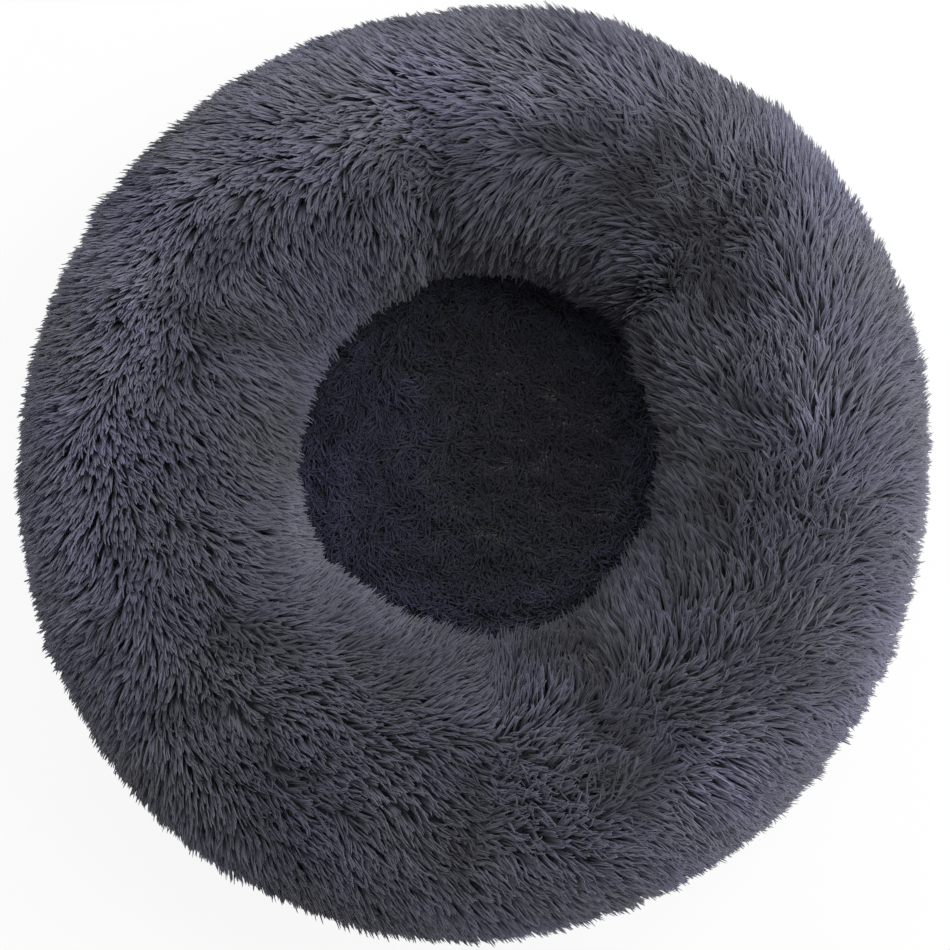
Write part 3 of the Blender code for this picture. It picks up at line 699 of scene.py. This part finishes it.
FUR = fur_material(
    "fur",
    [
        (0.0, (0.048, 0.048, 0.068)),
        (0.4, (0.085, 0.085, 0.121)),
        (0.8, (0.107, 0.107, 0.153)),
        (1.0, (0.117, 0.117, 0.167)),
    ],
    low=0.89,
    high=1.11,
    cool=(0.98, 0.985, 1.06),
    warm=(1.02, 1.025, 0.95),
    roughness=0.62,
)
# The pad's fur is the ring's fur painted far darker, as the shade that falls in the hollow
PAD_FUR_IN_SHADE = fur_material(
    "pad_fur",
    [
        (0.0, (0.009, 0.0094, 0.0160)),
        (0.5, (0.0172, 0.0181, 0.0316)),
        (1.0, (0.0216, 0.0228, 0.0400)),
    ],
    low=0.76,
    high=1.24,
    cool=(0.98, 0.98, 1.10),
    warm=(1.005, 1.025, 1.0),
    roughness=0.78,
)
UNDERCOAT = rough_material(
    "undercoat", (0.034, 0.034, 0.046), (0.074, 0.074, 0.100), 420, 0.92, 0.002, specular=0.1
)
# The pad's undercoat is the ring's undercoat painted darker, as the shade in the hollow
PAD_UNDERCOAT_IN_SHADE = rough_material(
    "pad_undercoat", (0.012, 0.012, 0.016), (0.026, 0.026, 0.034), 420, 0.92, 0.001, specular=0.1
)
CASING = rough_material("casing", (0.52, 0.52, 0.53), (0.70, 0.70, 0.71), 900, 0.9, 0.0003)
FIBRE = rough_material("fibre", (0.70, 0.70, 0.68), (0.90, 0.90, 0.88), 260, 0.95, 0.004)
BASE_CLOTH = woven_material("base_cloth", (0.010, 0.010, 0.012), (0.045, 0.045, 0.050), 2600, 0.75)
TAPE = woven_material("tape", (0.008, 0.008, 0.010), (0.036, 0.036, 0.042), 2200, 0.8, lean=0.785)
THREAD = rough_material("thread", (0.012, 0.012, 0.014), (0.040, 0.040, 0.046), 2600, 0.6, 0.0002)
RUBBER = rough_material(
    "grip_rubber", (0.018, 0.018, 0.020), (0.030, 0.030, 0.034), 600, 0.55, 0.0001
)
NYLON = rough_material(
    "nylon", (0.014, 0.014, 0.017), (0.034, 0.034, 0.040), 500, 0.38, 0.0001, specular=0.5
)
METAL = rough_material(
    "slider_metal",
    (0.060, 0.060, 0.066),
    (0.120, 0.120, 0.130),
    700,
    0.34,
    0.0001,
    metallic=0.9,
    specular=0.5,
)


# The ring's plush

def ring_plush():
    angles = np.linspace(FIRST, LAST, 44)[None, :]
    top, under = (ring(angles, turns(180), share) for share in (COAT_SHARE, 0.06))
    return lathe("ring_plush", both_faces(top, under), UNDERCOAT)


plush = dressed(ring_plush(), "bolster_cover")


def clump_field():
    """Tufts: a tree of their places, the places, and how each turns, rises and shades its locks."""
    places = ring(*rows(CLUMP_SPACING, 2), COAT_SHARE)
    tree = KDTree(len(places))
    for i, place in enumerate(places):
        tree.insert(place, i)
    tree.balance()
    return tree, places, *rng.normal(0, 1, (3, len(places)))


CLUMPS = clump_field()


def clumped(roots):
    """The way from each root to the middle of its nearest tuft, and that tuft's own numbers."""
    tree, places, *kinds = CLUMPS
    jitter = rng.normal(0, CLUMP_JITTER, roots.shape)
    which = np.array([tree.find(p)[1] for p in roots + jitter])
    return places[which] - roots, *(kind[which] for kind in kinds)


def leaned(points, to_middle, pull):
    """Leans strands sideways towards the middle of their tuft, most at the tip."""
    along = unit(points[:, -1] - points[:, 0])
    sideways = to_middle - (to_middle * along).sum(1)[:, None] * along
    s = np.linspace(0, 1, points.shape[1])[None, :, None]
    return points + sideways[:, None, :] * pull * s**1.5


def fur_pieces(parent, name, strands, groups, words, flat, material):
    """A piece of fur for each group of strands, with its word in its name."""
    for group, word in enumerate(words):
        picked = (values[groups == group] for values in strands)
        on(parent, strand_mesh(f"{name}_{word}", *picked, flat, 3, material))


def tapered(widest, blunt):
    """Widths along a strand that swells from its root and rounds off at its tip."""
    s = np.array(STEPS[:-1])
    fall = (1 - eased(0.5, 1.0, s)) * (1 - blunt) + np.sqrt(1 - s**6) * blunt
    return widest[:, None] * ((0.62 + 0.38 * eased(0, 0.35, s)) * fall)[None, :]


def coat(spacing, margin, lengths, fine_length, rises, curve, stray_spread, clump_turn, straggle):
    """The strands that rise from an even spread of roots, with what each needs for its looks.

    straggle is how far the longest strands stand up along the hollow's edge, and 0 for locks.
    """
    angles, headings = rows(spacing, margin)
    n = len(angles)
    base = ring(angles, headings, COAT_SHARE)
    full = PILE_DEPTH * (1 - COAT_SHARE)
    depth = pile_depth(angles) * (1 - COAT_SHARE)
    share = across_share(angles)
    fine = fineness(base)
    crease = creased(base)
    tuft = gathered_near(TUFTS, base)
    wild = 1 + gathered_near(RUFFLED, base) + 0.6 * crease
    to_middle, clump_way, clump_rise, clump_shade = clumped(base)

    # Coarse locks run longer over the crown, and all run short beside the seams
    length = rng.uniform(*lengths, n) * (1 + fine_length * fine) * (0.45 + 0.55 * depth / full)
    crown = eased(1.0, 0.88, share) * eased(0.02, 0.15, share)
    length = length * (1 + 0.18 * (1 - fine) * crown)

    # How high the tips stand over the roots' surface
    high = depth * rng.uniform(*rises, n)
    high = high + CLUMP_RISE * clump_rise - CREASE_SINK * crease + TUFT_RISE * tuft
    rim = eased(60, 10, angles)
    right = np.clip(np.cos(headings + 0.15), 0, 1) * rim
    stand = COAT_LIFT + by_heading(RIM_REACH, headings) / MILLIMETRES * rim
    high = high + (stand + RIGHT_RIM_SCATTER * right * rng.uniform(0, 1, n))
    hollow = eased(115, 165, angles) * by_heading(HOLLOW_REACH, headings) / MILLIMETRES
    high = high + hollow * rng.uniform(0.5, 1, n)
    to_right = 0.5 + 0.5 * np.cos(headings - math.radians(15))
    stray_in = rng.uniform(0, 1, n) ** 1.3 * to_right * eased(135, 175, angles)
    inner = eased(0.36, 0.12, share) * eased(0.2, 0.7, fine)
    high = high + straggle * stray_in + inner * rng.uniform(-INNER_SCATTER, INNER_SCATTER, n)
    if straggle:
        high = high * (1 + 0.18 * (1 - fine)) * (1 - 0.22 * inner)

    stray = np.radians((rng.normal(0, stray_spread, n) + clump_turn * clump_way) * wild)
    bend = np.radians(rng.normal(0, 9, n))
    points, normals = combed(angles, headings, length, high, curve, stray, bend)
    points = leaned(points, to_middle, (0.16 + 0.16 * fine)[:, None, None])

    # How light each strand is: painted shade in the creases and painted light on the tufts, taken
    # near its tip, and the painted light and shade round the ring
    seen = points[:, 3]
    painted_crease_tuft_light = 1 - CREASE_PAINTED_SHADE * creased(seen)
    painted_crease_tuft_light = painted_crease_tuft_light * (1 + TUFT_PAINTED_LIGHT * gathered_near(TUFTS, seen))
    # painted light and shade round the ring, by side and across its section
    shade = (1 + 0.05 * clump_shade) * painted_crease_tuft_light * painted_ring_light(angles, headings, base)
    # Strands between the locks are painted darker as shade where they stray over the hollow's edge
    # and on the slope into it
    if straggle:
        shade = shade * (1 - 0.45 * stray_in) * (1 - 0.28 * inner)
    else:
        shade = shade * (1 + inner * rng.uniform(-0.20, 0.32, n))
    hue = np.clip(0.5 + 0.25 * patch(base) + rng.normal(0, 0.06, n), 0, 1)
    return headings, points, normals, fine * (1 - 0.8 * inner), shade, hue


def ring_fur():
    # Top locks, each of three strands side by side
    headings, points, normals, fine, shade, hue = coat(
        LOCK_SPACING,
        margin=1,
        lengths=(0.0105, 0.0155),
        fine_length=0.75,
        rises=(0.88, 1.16),
        curve=1.1,
        stray_spread=10,
        clump_turn=9,
        straggle=0.0,
    )
    n = len(headings)
    side = unit(np.cross(normals, np.gradient(points, axis=1)))
    width = rng.uniform(0.0025, 0.0037, n) * (1 - 0.3 * fine)
    s = np.array(STEPS)[None, :, None]
    spread = 0.6 + 0.4 * np.sin(np.pi * np.clip(s, 0, 0.75))
    lock_tint = rng.uniform(0, 1, n)
    kept = []
    for place in (-1, 0, 1):
        offset = place * 0.27 * width[:, None, None] * spread
        lift = -0.12 * abs(place) * width[:, None, None]
        tail = rng.normal(0, 0.00035, (n, 1, 3)) * s**2
        reach = (1 - rng.uniform(0, 0.16, n))[:, None, None]
        moved = points + side * offset + normals * lift + tail
        moved = moved[:, :1] + (moved - moved[:, :1]) * (1 - (1 - reach) * s)
        tints = np.stack([np.clip(lock_tint + rng.normal(0, 0.2, n), 0, 1), hue], 1)
        kept.append((moved, normals, tapered(width * 0.56, 0.85), tints, shade, headings))
    locks = [np.concatenate(x) for x in zip(*kept)]

    # Finer, lower strands between the locks
    headings, points, normals, fine, shade, hue = coat(
        MID_SPACING,
        margin=0.5,
        lengths=(0.0105, 0.015),
        fine_length=0.6,
        rises=(0.66, 1.02),
        curve=1.2,
        stray_spread=12,
        clump_turn=8,
        straggle=0.012,
    )
    n = len(headings)
    width = rng.uniform(0.0011, 0.0018, n) * (1.42 - 0.67 * fine)
    tints = np.stack([rng.uniform(0, 1, n), hue], 1)
    # The strands between the locks are painted a little darker as shade where the fur is fine
    strands = [points, normals, tapered(width, 0.6), tints, shade * (1.02 - 0.10 * fine), headings]

    words = [f"{sector:02d}" for sector in range(SECTORS)]
    for kind, (*coats, headings) in (("locks", locks), ("strands", strands)):
        sectors = np.floor(headings % (2 * math.pi) / (2 * math.pi) * SECTORS).astype(int) % SECTORS
        fur_pieces(plush, "fur_" + kind, coats, sectors, words, 0.7, FUR)


ring_fur()


# The sleeping pad

PAD_FUR_SPACING = 0.0019
PAD_FUR_RADIUS = PAD_EDGE_RADIUS - 0.001
PAD_DIP = 0.0016
PALE_STRANDS = 0.004

# Where the pad's fur is painted darker or paler, with a painted shade in its middle and two paler
# spots: x, y, reach in metres, and strength
PAD_PAINTED_PATCHES = (
    (0.034, 0.011, 0.052, -0.48),
    (-0.060, 0.042, 0.017, 1.2),
    (-0.037, 0.012, 0.012, 0.6),
)


def pad_top(radius):
    share = np.minimum(radius / PAD_EDGE_RADIUS, 1)
    return PAD_EDGE_HEIGHT + (PAD_CROWN_HEIGHT - PAD_EDGE_HEIGHT) * (1 - share**3)


def pad_depth(radius):
    share = np.minimum(radius / PAD_EDGE_RADIUS, 1)
    return INNER_SEAM_THICKNESS + (PAD_PILE_DEPTH - INNER_SEAM_THICKNESS) * (1 - share**4)


def pad_point(x, y, depth_share):
    """A point of the pad's plush: 0 is its backing's underside and 1 its pile's mean surface."""
    radius = np.hypot(x, y)
    free = eased(OUTER_SEAM_HEIGHT, SETTLE_HEIGHT, pad_top(radius))
    z = pad_top(radius) - pad_depth(radius) * (1 - depth_share)
    dip = PAD_DIP * np.clip(ruffle(points_of(x, y, 0)), -1.5, 1.5)
    z = z + dip * eased(1.0, 0.7, radius / PAD_EDGE_RADIUS) * (depth_share > 0.2)
    return points_of(x + HOLE_SHIFT_RIGHT * free, y + HOLE_SHIFT_BACK * free, z)


def pad_plush():
    radius = np.linspace(0.015, 1, 34)[None, :] * PAD_EDGE_RADIUS
    x, y = radius * np.cos(turns(120)), radius * np.sin(turns(120))
    grid = both_faces(pad_point(x, y, 0.08), pad_point(x, y, 0.5))
    return lathe("pad_plush", grid, PAD_UNDERCOAT_IN_SHADE)


pad = dressed(pad_plush(), "pad_cover")


def painted_pad_light(x, y, swirled):
    """Painted light and shade on the pad's fur: painted shade to the rear right and in its middle,
    and painted light round its edge, most where it lies in shadow, and at its far left.
    """
    shade = 1.05 - 0.39 * eased(-0.08, 0.07, 0.75 * x + 0.66 * y + 0.012 * swirled)
    for at_x, at_y, reach, strength in PAD_PAINTED_PATCHES:
        gap = (x - at_x) ** 2 + (y - at_y) ** 2
        shade = shade * (1 + strength * np.exp(-gap / reach**2))
    # Painted light round the pad's edge, most on the shadowed rear right and at the front
    edge = 0.30 + 2.0 * eased(0.0, 0.075, 0.88 * x + 0.48 * y) + 0.4 * eased(-0.04, -0.09, y)
    shade = shade * (1 + edge * eased(0.080, 0.110, np.hypot(x, y)))
    # Painted light at the pad's far left, the side the light falls on
    far_left = eased(-0.064, -0.084, x) * eased(0.034, 0.0, y) * eased(-0.070, -0.050, y)
    return shade * (1 + 0.8 * far_left)


def pad_fur():
    cells = np.arange(-PAD_EDGE_RADIUS, PAD_EDGE_RADIUS, PAD_FUR_SPACING)
    x, y = np.meshgrid(cells, cells)
    x = x.ravel() + rng.uniform(-0.6, 0.6, x.size) * PAD_FUR_SPACING
    y = y.ravel() + rng.uniform(-0.6, 0.6, y.size) * PAD_FUR_SPACING
    inside = np.hypot(x, y) < PAD_FUR_RADIUS
    x, y = x[inside], y[inside]
    n = len(x)
    roots = points_of(x, y, 0)
    swirled, tufted = pad_swirl(roots), pad_tuft(roots)
    left = eased(-0.02, -0.07, x)
    matted = 1.3 * swirled + 1.1 * tufted
    turn = math.radians(255) + (1 - 0.55 * left) * matted + rng.normal(0, 0.55, n)
    bend = rng.normal(0, 0.6, n)
    length = rng.uniform(0.006, 0.013, n) * (1 + 0.5 * left)
    cool = eased(0.0, -0.045, x + 0.008 * swirled)
    hue = np.clip(0.68 - 0.46 * cool + 0.08 * patch(roots) + rng.normal(0, 0.08, n), 0, 1)
    pale = rng.uniform(0, 1, n) < PALE_STRANDS
    tints = np.stack([np.where(pale, 1.0, rng.uniform(0, 1, n)), hue], 1)
    shade = painted_pad_light(x, y, swirled)
    # The cooler left third is painted lighter, on the side the light falls on
    shade = shade * (1 + 0.1 * tufted) * (1 + 0.3 * cool) * np.where(pale, 1.7, 1)
    depth = pad_depth(np.hypot(x, y))
    high = depth * rng.uniform(0.32, 0.56, n) * (1 + 0.16 * tufted) * np.where(pale, 1.25, 1)
    points = []
    before = 0.0
    at_x, at_y = x, y
    for s in STEPS:
        way = turn + bend * s
        at_x = at_x + np.cos(way) * length * (s - before)
        at_y = at_y + np.sin(way) * length * (s - before)
        before = s
        reach = np.maximum(np.hypot(at_x, at_y) / PAD_FUR_RADIUS, 1)
        at_x, at_y = at_x / reach, at_y / reach
        here = pad_point(at_x, at_y, 0.48)
        here[:, 2] += high * (1 - (1 - s) ** 1.6)
        points.append(here)
    points = np.stack(points, 1)
    normals = np.broadcast_to([0.0, 0.0, 1.0], points.shape)
    widths = tapered(rng.uniform(0.0008, 0.0014, n), 0.5)
    strands = (points, normals, widths, tints, shade)
    fur_pieces(pad, "pad_fur", strands, x >= 0, ("left", "right"), 0.6, PAD_FUR_IN_SHADE)


pad_fur()


# Casings and fillings

LINER_INSETS = (FIT_GAP + 0.0001, FIT_GAP + LINER_THICKNESS - 0.0002)
SEAM_GAP = 0.0006
FILLING_GAP = 0.0002
LUMP_DEPTH = 0.0016
PAD_LINER_INSETS = (0.0002, 0.0009)
PAD_EDGE_INSET = 0.0002
PAD_SPLIT = 0.0305
PAD_SPLIT_GAP = 0.0003
PAD_RADIUS_STEPS = 20


def liner_angles():
    """From the base's edge over the ring and down its flank in the hole to the base again."""
    floor = degrees_below(BASE_THICKNESS)
    over, down = np.linspace(FIRST, LAST, 40), np.linspace(LAST, 180 + floor, 12)
    return np.concatenate([[-floor], over, down[1:]])


def inside_backing(angles, inset):
    radius, height = oval(angles, -inset)
    return radius, np.maximum(height, BASE_THICKNESS + inset)


def ring_casing():
    layers = []
    for inset in LINER_INSETS:
        radius, height = inside_backing(liner_angles(), inset)
        radius = np.concatenate([[MID_RADIUS + SEAM_GAP], radius, [MID_RADIUS - SEAM_GAP]])
        height = np.pad(height, 1, constant_values=BASE_THICKNESS + inset)
        layers.append(placed(radius, height, turns(144)))
    return lathe("ring_casing", both_faces(*layers), CASING)


def ring_filling():
    inset = 2 * FIT_GAP + LINER_THICKNESS + FILLING_GAP
    radius, height = inside_backing(liner_angles(), inset)
    radius, height = np.append(radius, MID_RADIUS), np.append(height, BASE_THICKNESS + inset)
    lump = LUMP_DEPTH * (1 + np.sin(7 * turns(144)) * 0.4)
    drawn = MID_RADIUS + (radius - MID_RADIUS) * (1 - lump / 0.06)
    return lathe("ring_filling", placed(drawn, height, turns(144)), FIBRE)


def flank_radius(heights, inset):
    """The radius of the hole's flank at these heights, this far inside the pad's casing."""
    angles = np.linspace(LAST, 180 + degrees_below(BASE_THICKNESS), 40)
    radii, levels = inside_backing(angles, FIT_GAP)
    return np.interp(heights, levels[::-1], radii[::-1]) - PAD_CLEARANCE - inset


def pad_lid(inset, middle):
    """(radius, height) of the pad's top under its plush, from near its middle to its edge."""
    radius = np.linspace(middle, 1, PAD_RADIUS_STEPS) * (PAD_EDGE_RADIUS - PAD_EDGE_INSET - inset)
    return radius, pad_top(radius) - pad_depth(radius) - FIT_GAP - inset


def pad_foot(side, inset, middle):
    """(radius, height) down the pad's side at these heights and in under it."""
    flank = flank_radius(side, inset)
    under = np.linspace(1, middle, PAD_RADIUS_STEPS)[1:]
    return np.append(flank, under * flank[-1]), np.append(side, np.full_like(under, side[-1]))


def pad_casing(name, top, split):
    """A casing disc with its side: the top one or the bottom one."""
    middle = 0.012
    layers = []
    for inset in PAD_LINER_INSETS:
        if top:
            radius, height = pad_lid(inset, middle)
            side = np.linspace(height[-1], split, 8)[1:]
            radius, height = np.append(radius, flank_radius(side, inset)), np.append(height, side)
        else:
            side = np.linspace(split, BASE_THICKNESS + FIT_GAP + inset, 10)
            radius, height = pad_foot(side, inset, middle)
        layers.append(placed(radius, height, turns(120)))
    return lathe(name, both_faces(*layers), CASING)


def pad_filling():
    inset, middle = LINER_THICKNESS + FIT_GAP, 0.01
    lid = pad_lid(inset, middle)
    side = np.linspace(lid[1][-1], BASE_THICKNESS + FIT_GAP + inset, 12)[1:]
    radius, height = np.append(lid, pad_foot(side, inset, middle), axis=1)
    return lathe("pad_filling", placed(radius, height, turns(120)), FIBRE)


casing = dressed(ring_casing(), "bolster_liner")
dressed(ring_filling(), "bolster_stuffing")
casing = pad_casing("pad_casing_top", True, PAD_SPLIT + PAD_SPLIT_GAP)
dressed(casing, "pad_liner_top")
casing = pad_casing("pad_casing_bottom", False, PAD_SPLIT - PAD_SPLIT_GAP)
dressed(casing, "pad_liner_bottom")
dressed(pad_filling(), "pad_stuffing")


# The base

HALVES = (("front", -1), ("rear", 1))
BINDING_INNER = float(inside_backing(np.array([FIRST]), FIT_GAP)[0][0]) + PAD_CLEARANCE
BASE_RADIUS = BINDING_INNER + BINDING_WIDTH
CLOTH_UNDERSIDE = 0.0005
CLOTH_THICKNESS = 0.00045
WRINKLE_DEPTH = 0.00008
DOT_PITCH = 0.0085
DOTS_FROM_ZIP = 0.055
DOTS_FROM_EDGE = 0.006
DOT_ROWS = 0.866
DOT_SIDES = 8
DOT_PROFILE = ((0.00125, 0.00055), (0.00085, 0.00012), (0, 0))
THREAD_WIDTH = 0.0005
ZIP_STITCH_ROWS = (0.0076, 0.0136)
ZIP_STITCH_REACH = 0.181
HEM_STITCH_INSET = 0.0022
HEM_STITCH_HEIGHT = 0.0016


def base_height(x, y):
    return BASE_LIFT * groove_shares(x, y, GROOVE_FLAT_WIDTH, GROOVE_FADE)


def base_cloth(word, side):
    """Half of the base cloth, with faint wrinkles, cut along the zip."""
    columns = 48
    angles = np.linspace(0.012, math.pi - 0.012, 150)[:, None]
    x = np.repeat(BASE_RADIUS * np.cos(angles), columns, axis=1)
    past = np.clip((np.abs(x) - SLOT_END) / SLOT_END_SLANT, 0, 1)
    edge = SLOT_EDGE * (1 - past) + FIT_GAP / 2 * past
    share = np.linspace(0, 1, columns) ** 1.5
    y = edge + share * (BASE_RADIUS * np.sin(angles) - edge)
    fold = WRINKLE_DEPTH * wrinkle(points_of(x, side * y, 0))
    fold = fold * eased(0, 0.03, BASE_RADIUS - np.hypot(x, y))
    low = points_of(x, side * y, base_height(x, y) + CLOTH_UNDERSIDE + fold)
    grid = both_faces(low, low + np.array([0, 0, CLOTH_THICKNESS]))
    return smooth_object("base_cloth_" + word, grid, bar_faces(grid, side), BASE_CLOTH, True)


def grip_dots(word, side):
    """Rows of small rubber dots under the base cloth, on the faces that touch the floor."""
    cells = np.arange(-BASE_RADIUS, BASE_RADIUS, DOT_PITCH)
    x, y = np.meshgrid(cells, np.arange(DOTS_FROM_ZIP, BASE_RADIUS, DOT_PITCH * DOT_ROWS))
    x[1::2] += DOT_PITCH / 2
    x, y = x.ravel(), y.ravel()
    inside = np.hypot(x, y) < BASE_RADIUS - DOTS_FROM_EDGE
    x, y = x[inside, None], side * y[inside, None]
    i = np.arange(DOT_SIDES)
    turn = i / DOT_SIDES * 2 * math.pi
    loops = []
    for reach, level in DOT_PROFILE:
        loops.append(points_of(x + reach * np.cos(turn), y + reach * np.sin(turn), level))
    verts = np.concatenate([loops[0], loops[1], loops[2][:, :1]], axis=1)
    j = (i + 1) % DOT_SIDES
    quads = np.stack([i, DOT_SIDES + i, DOT_SIDES + j, j], 1)
    tips = np.stack([DOT_SIDES + i, np.full(DOT_SIDES, 2 * DOT_SIDES), DOT_SIDES + j], 1)
    faces = []
    for first in range(0, verts.shape[0] * verts.shape[1], verts.shape[1]):
        faces += (quads + first).tolist() + (tips + first).tolist() + [(i + first).tolist()]
    return smooth_object("grip_dots_" + word, verts, faces, RUBBER)


def stitches(name, path, length, gap):
    """A row of stitches along a path of points, each a short thread that bows off the cloth."""
    arc = lengths_along(path)
    count = int(arc[-1] / (length + gap))
    starts = (np.arange(count) + 0.5) * arc[-1] / count - length / 2
    places = starts[:, None] + np.array([0.0, 0.15, 0.5, 0.85, 1.0]) * length
    points = np.stack([np.interp(places, arc, path[:, axis]) for axis in range(3)], -1)
    points[..., 2] -= np.array([-0.3, 0.2, 0.35, 0.2, -0.3]) * THREAD_WIDTH
    normals = np.broadcast_to([0.0, 0.0, -1.0], points.shape)
    widths = np.broadcast_to(np.array([0.5, 0.95, 1.0, 0.9]) * THREAD_WIDTH, (count, 4))
    tints, shade = np.full((count, 2), 0.5), np.ones(count)
    return strand_mesh(name, points, normals, widths, tints, shade, 0.8, 4, THREAD, lowest=0.0001)


def base_binding():
    """A folded tape over the edge of the base cloth."""
    middle_radius = BINDING_INNER + BINDING_WIDTH / 2
    middle_height = BASE_THICKNESS + FIT_GAP + BINDING_HEIGHT / 2
    turn = np.radians(np.linspace(158, -158, 15))
    across = np.sign(np.cos(turn)) * np.abs(np.cos(turn)) ** 0.8
    headings = turns(300)
    pucker = 1 - 0.05 * (1 + np.sin(headings * 150 + 2 * np.sin(headings * 7))) / 2
    layers = []
    for inset in (0.0, 0.0005):
        radius = middle_radius + (BINDING_WIDTH / 2 * 0.98 - inset) * across * pucker
        height = middle_height + (BINDING_HEIGHT / 2 * 0.9 - inset) * np.sin(turn) * pucker
        layers.append(turned(radius, height, headings))
    return lathe("base_binding_tape", both_faces(*layers), TAPE)


binding = dressed(base_binding(), "base_binding")
for word, side in HALVES:
    cloth = dressed(base_cloth(word, side), "base_panel_" + word)
    on(cloth, grip_dots(word, side))
    for row, y in enumerate(ZIP_STITCH_ROWS):
        x, y = np.linspace(-ZIP_STITCH_REACH, ZIP_STITCH_REACH, 60), np.full(60, y)
        path = points_of(x, side * y, base_height(x, y) + CLOTH_UNDERSIDE)
        on(cloth, stitches(f"zip_stitches_{word}_{row}", path, length=0.0026, gap=0.0008))
hem = turned(BINDING_INNER + HEM_STITCH_INSET, HEM_STITCH_HEIGHT, np.linspace(0, 2 * math.pi, 720))
on(binding, stitches("hem_stitches", hem, length=0.0028, gap=0.0010))


# The zip

COIL_PITCH = 0.0015
COIL_WIRE = 0.0003
COIL_STEPS = 12
COIL_SIDES = 5
TAPE_STEPS = (0, 0.06, 0.12, 0.2, 0.5, 0.8, 0.97, 1.0)
TAPE_SECTION = (0.5, 1.0, 1.0, 0.72, 0.7, 0.7, 0.7, 0.4)
TAPE_RIPPLE = 0.00004


def zip_tape(word, side):
    """A woven tape with a corded edge beside the coil."""
    x = np.linspace(-TAPE_REACH, TAPE_REACH, 120)[:, None]
    share, half = np.array(TAPE_STEPS), np.array(TAPE_SECTION) * TAPE_THICKNESS / 2
    y = side * (TAPE_NEAR + share * (TAPE_WIDTH - 0.0001))
    middle = TAPE_UNDERSIDE + TAPE_THICKNESS / 2 + TAPE_RIPPLE * np.sin(x * 210) * share
    grid = both_faces(points_of(x, y, middle - half), points_of(x, y, middle + half))
    return smooth_object("zip_tape_cloth_" + word, grid, bar_faces(grid, -side), TAPE, True)


def zip_coil(word, side):
    """A coil of real turns, within the tube that they fill."""
    radius = COIL_DIAMETER / 2
    length = 2 * (STOP_FACE - FIT_GAP) - 2 * COIL_WIRE
    count = int(length / COIL_PITCH) * COIL_STEPS
    t = np.arange(count + 1)
    turn = 2 * math.pi * t / COIL_STEPS + (math.pi if side > 0 else 0)
    x = -length / 2 + length * t / count
    out = points_of(0, np.cos(turn) * side, np.sin(turn))
    path = points_of(x, side * (COIL_INNER + radius), COIL_UNDERSIDE + radius)
    path = path + (radius - COIL_WIRE) * out
    second = np.cross(unit(np.gradient(path, axis=0)), out)
    wire_turn = (np.arange(COIL_SIDES) / COIL_SIDES * 2 * math.pi)[:, None]
    wire = np.cos(wire_turn) * out[:, None] + np.sin(wire_turn) * second[:, None]
    grid = path[:, None] + COIL_WIRE * wire
    faces = bar_faces(grid, -1, (3, 0, 1, 2))
    return smooth_object("zip_coil_turns_" + word, grid, faces, NYLON)


for word, side in HALVES:
    tape = dressed(zip_tape(word, side), "zip_tape_" + word)
    dressed(zip_coil(word, side), "zip_coil_" + word)

for word in ("bottom_stop", "top_stop_front", "top_stop_rear", "slider", "pull"):
    for material_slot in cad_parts["zip_" + word].material_slots:
        material_slot.material = METAL


# Floor, lights and camera

FLOOR_REACH = 4
FLOOR_DROP = 0.0005
LIGHT_SIZE = 0.8
LIGHT_TARGET = Vector((0, 0, 0.08))
PHOTO_PIXELS = 950
PIXELS_PER_METRE = 1543
LENS = 100
SENSOR = 36
PLANE = 0.09


def area_light(name, place, power, colour):
    data = bpy.data.lights.new(name, "AREA")
    data.shape = "DISK"
    data.size = LIGHT_SIZE
    data.energy = power
    data.color = colour
    light = new_object(name, data)
    light.location = place
    light.rotation_euler = (LIGHT_TARGET - light.location).to_track_quat("-Z", "Y").to_euler()


def seen_directly(tree):
    """1 where the camera, a reflection or a clear surface shows this, and else 0."""
    rays = add(tree, "LightPath").outputs
    kinds = (rays[f"Is {word} Ray"] for word in ("Camera", "Glossy", "Transmission"))
    return joined(tree, "MAXIMUM", *kinds)


def floor():
    """A pale floor, nearly white to the camera, that keeps a faint shadow."""
    mesh = bpy.data.meshes.new("floor")
    far = FLOOR_REACH
    corners = [(-far, -far, 0), (far, -far, 0), (far, far, 0), (-far, far, 0)]
    mesh.from_pydata(corners, [], [(0, 1, 2, 3)])
    material, tree, shader = new_material("floor")
    set_up(shader, in_Base_Color=(0.9, 0.9, 0.9, 1), in_Roughness=0.9, in_Specular_IOR_Level=0.1)
    glow = add(tree, "Emission").outputs["Emission"]
    mix = add(tree, "MixShader", in_Fac=ranged(tree, seen_directly(tree), 0.0, 0.9))
    set_up(mix, in_1=shader.outputs["BSDF"], in_2=glow)
    set_up(tree.nodes["Material Output"], in_Surface=mix.outputs["Shader"])
    made = new_object("floor", mesh, material)
    made.location.z = -FLOOR_DROP


floor()
area_light("key", (0.60, 0.41, 1.16), 10.2, (1.0, 0.995, 0.985))
area_light("side", (1.10, -0.32, 0.69), 6.95, (1.0, 0.995, 0.985))
area_light("fill", (-0.51, 0.82, 0.95), 7.0, (0.98, 0.985, 1.0))

world = bpy.data.worlds.new("world")
world.use_nodes = True
bpy.context.scene.world = world
strength = ranged(world.node_tree, seen_directly(world.node_tree), 0.32, 0.93)
set_up(world.node_tree.nodes["Background"], in_Color=(1, 1, 1, 1), in_Strength=strength)
bpy.context.scene.view_settings.view_transform = "Standard"

# The camera looks straight down, with the photograph's scale at the height of PLANE
camera_data = bpy.data.cameras.new("camera")
camera_data.lens = LENS
camera_data.sensor_width = SENSOR
camera = new_object("camera", camera_data)
camera.location = (0.0006, -0.0023, PLANE + LENS / SENSOR * PHOTO_PIXELS / PIXELS_PER_METRE)
bpy.context.scene.camera = camera

bpy.context.view_layer.update()
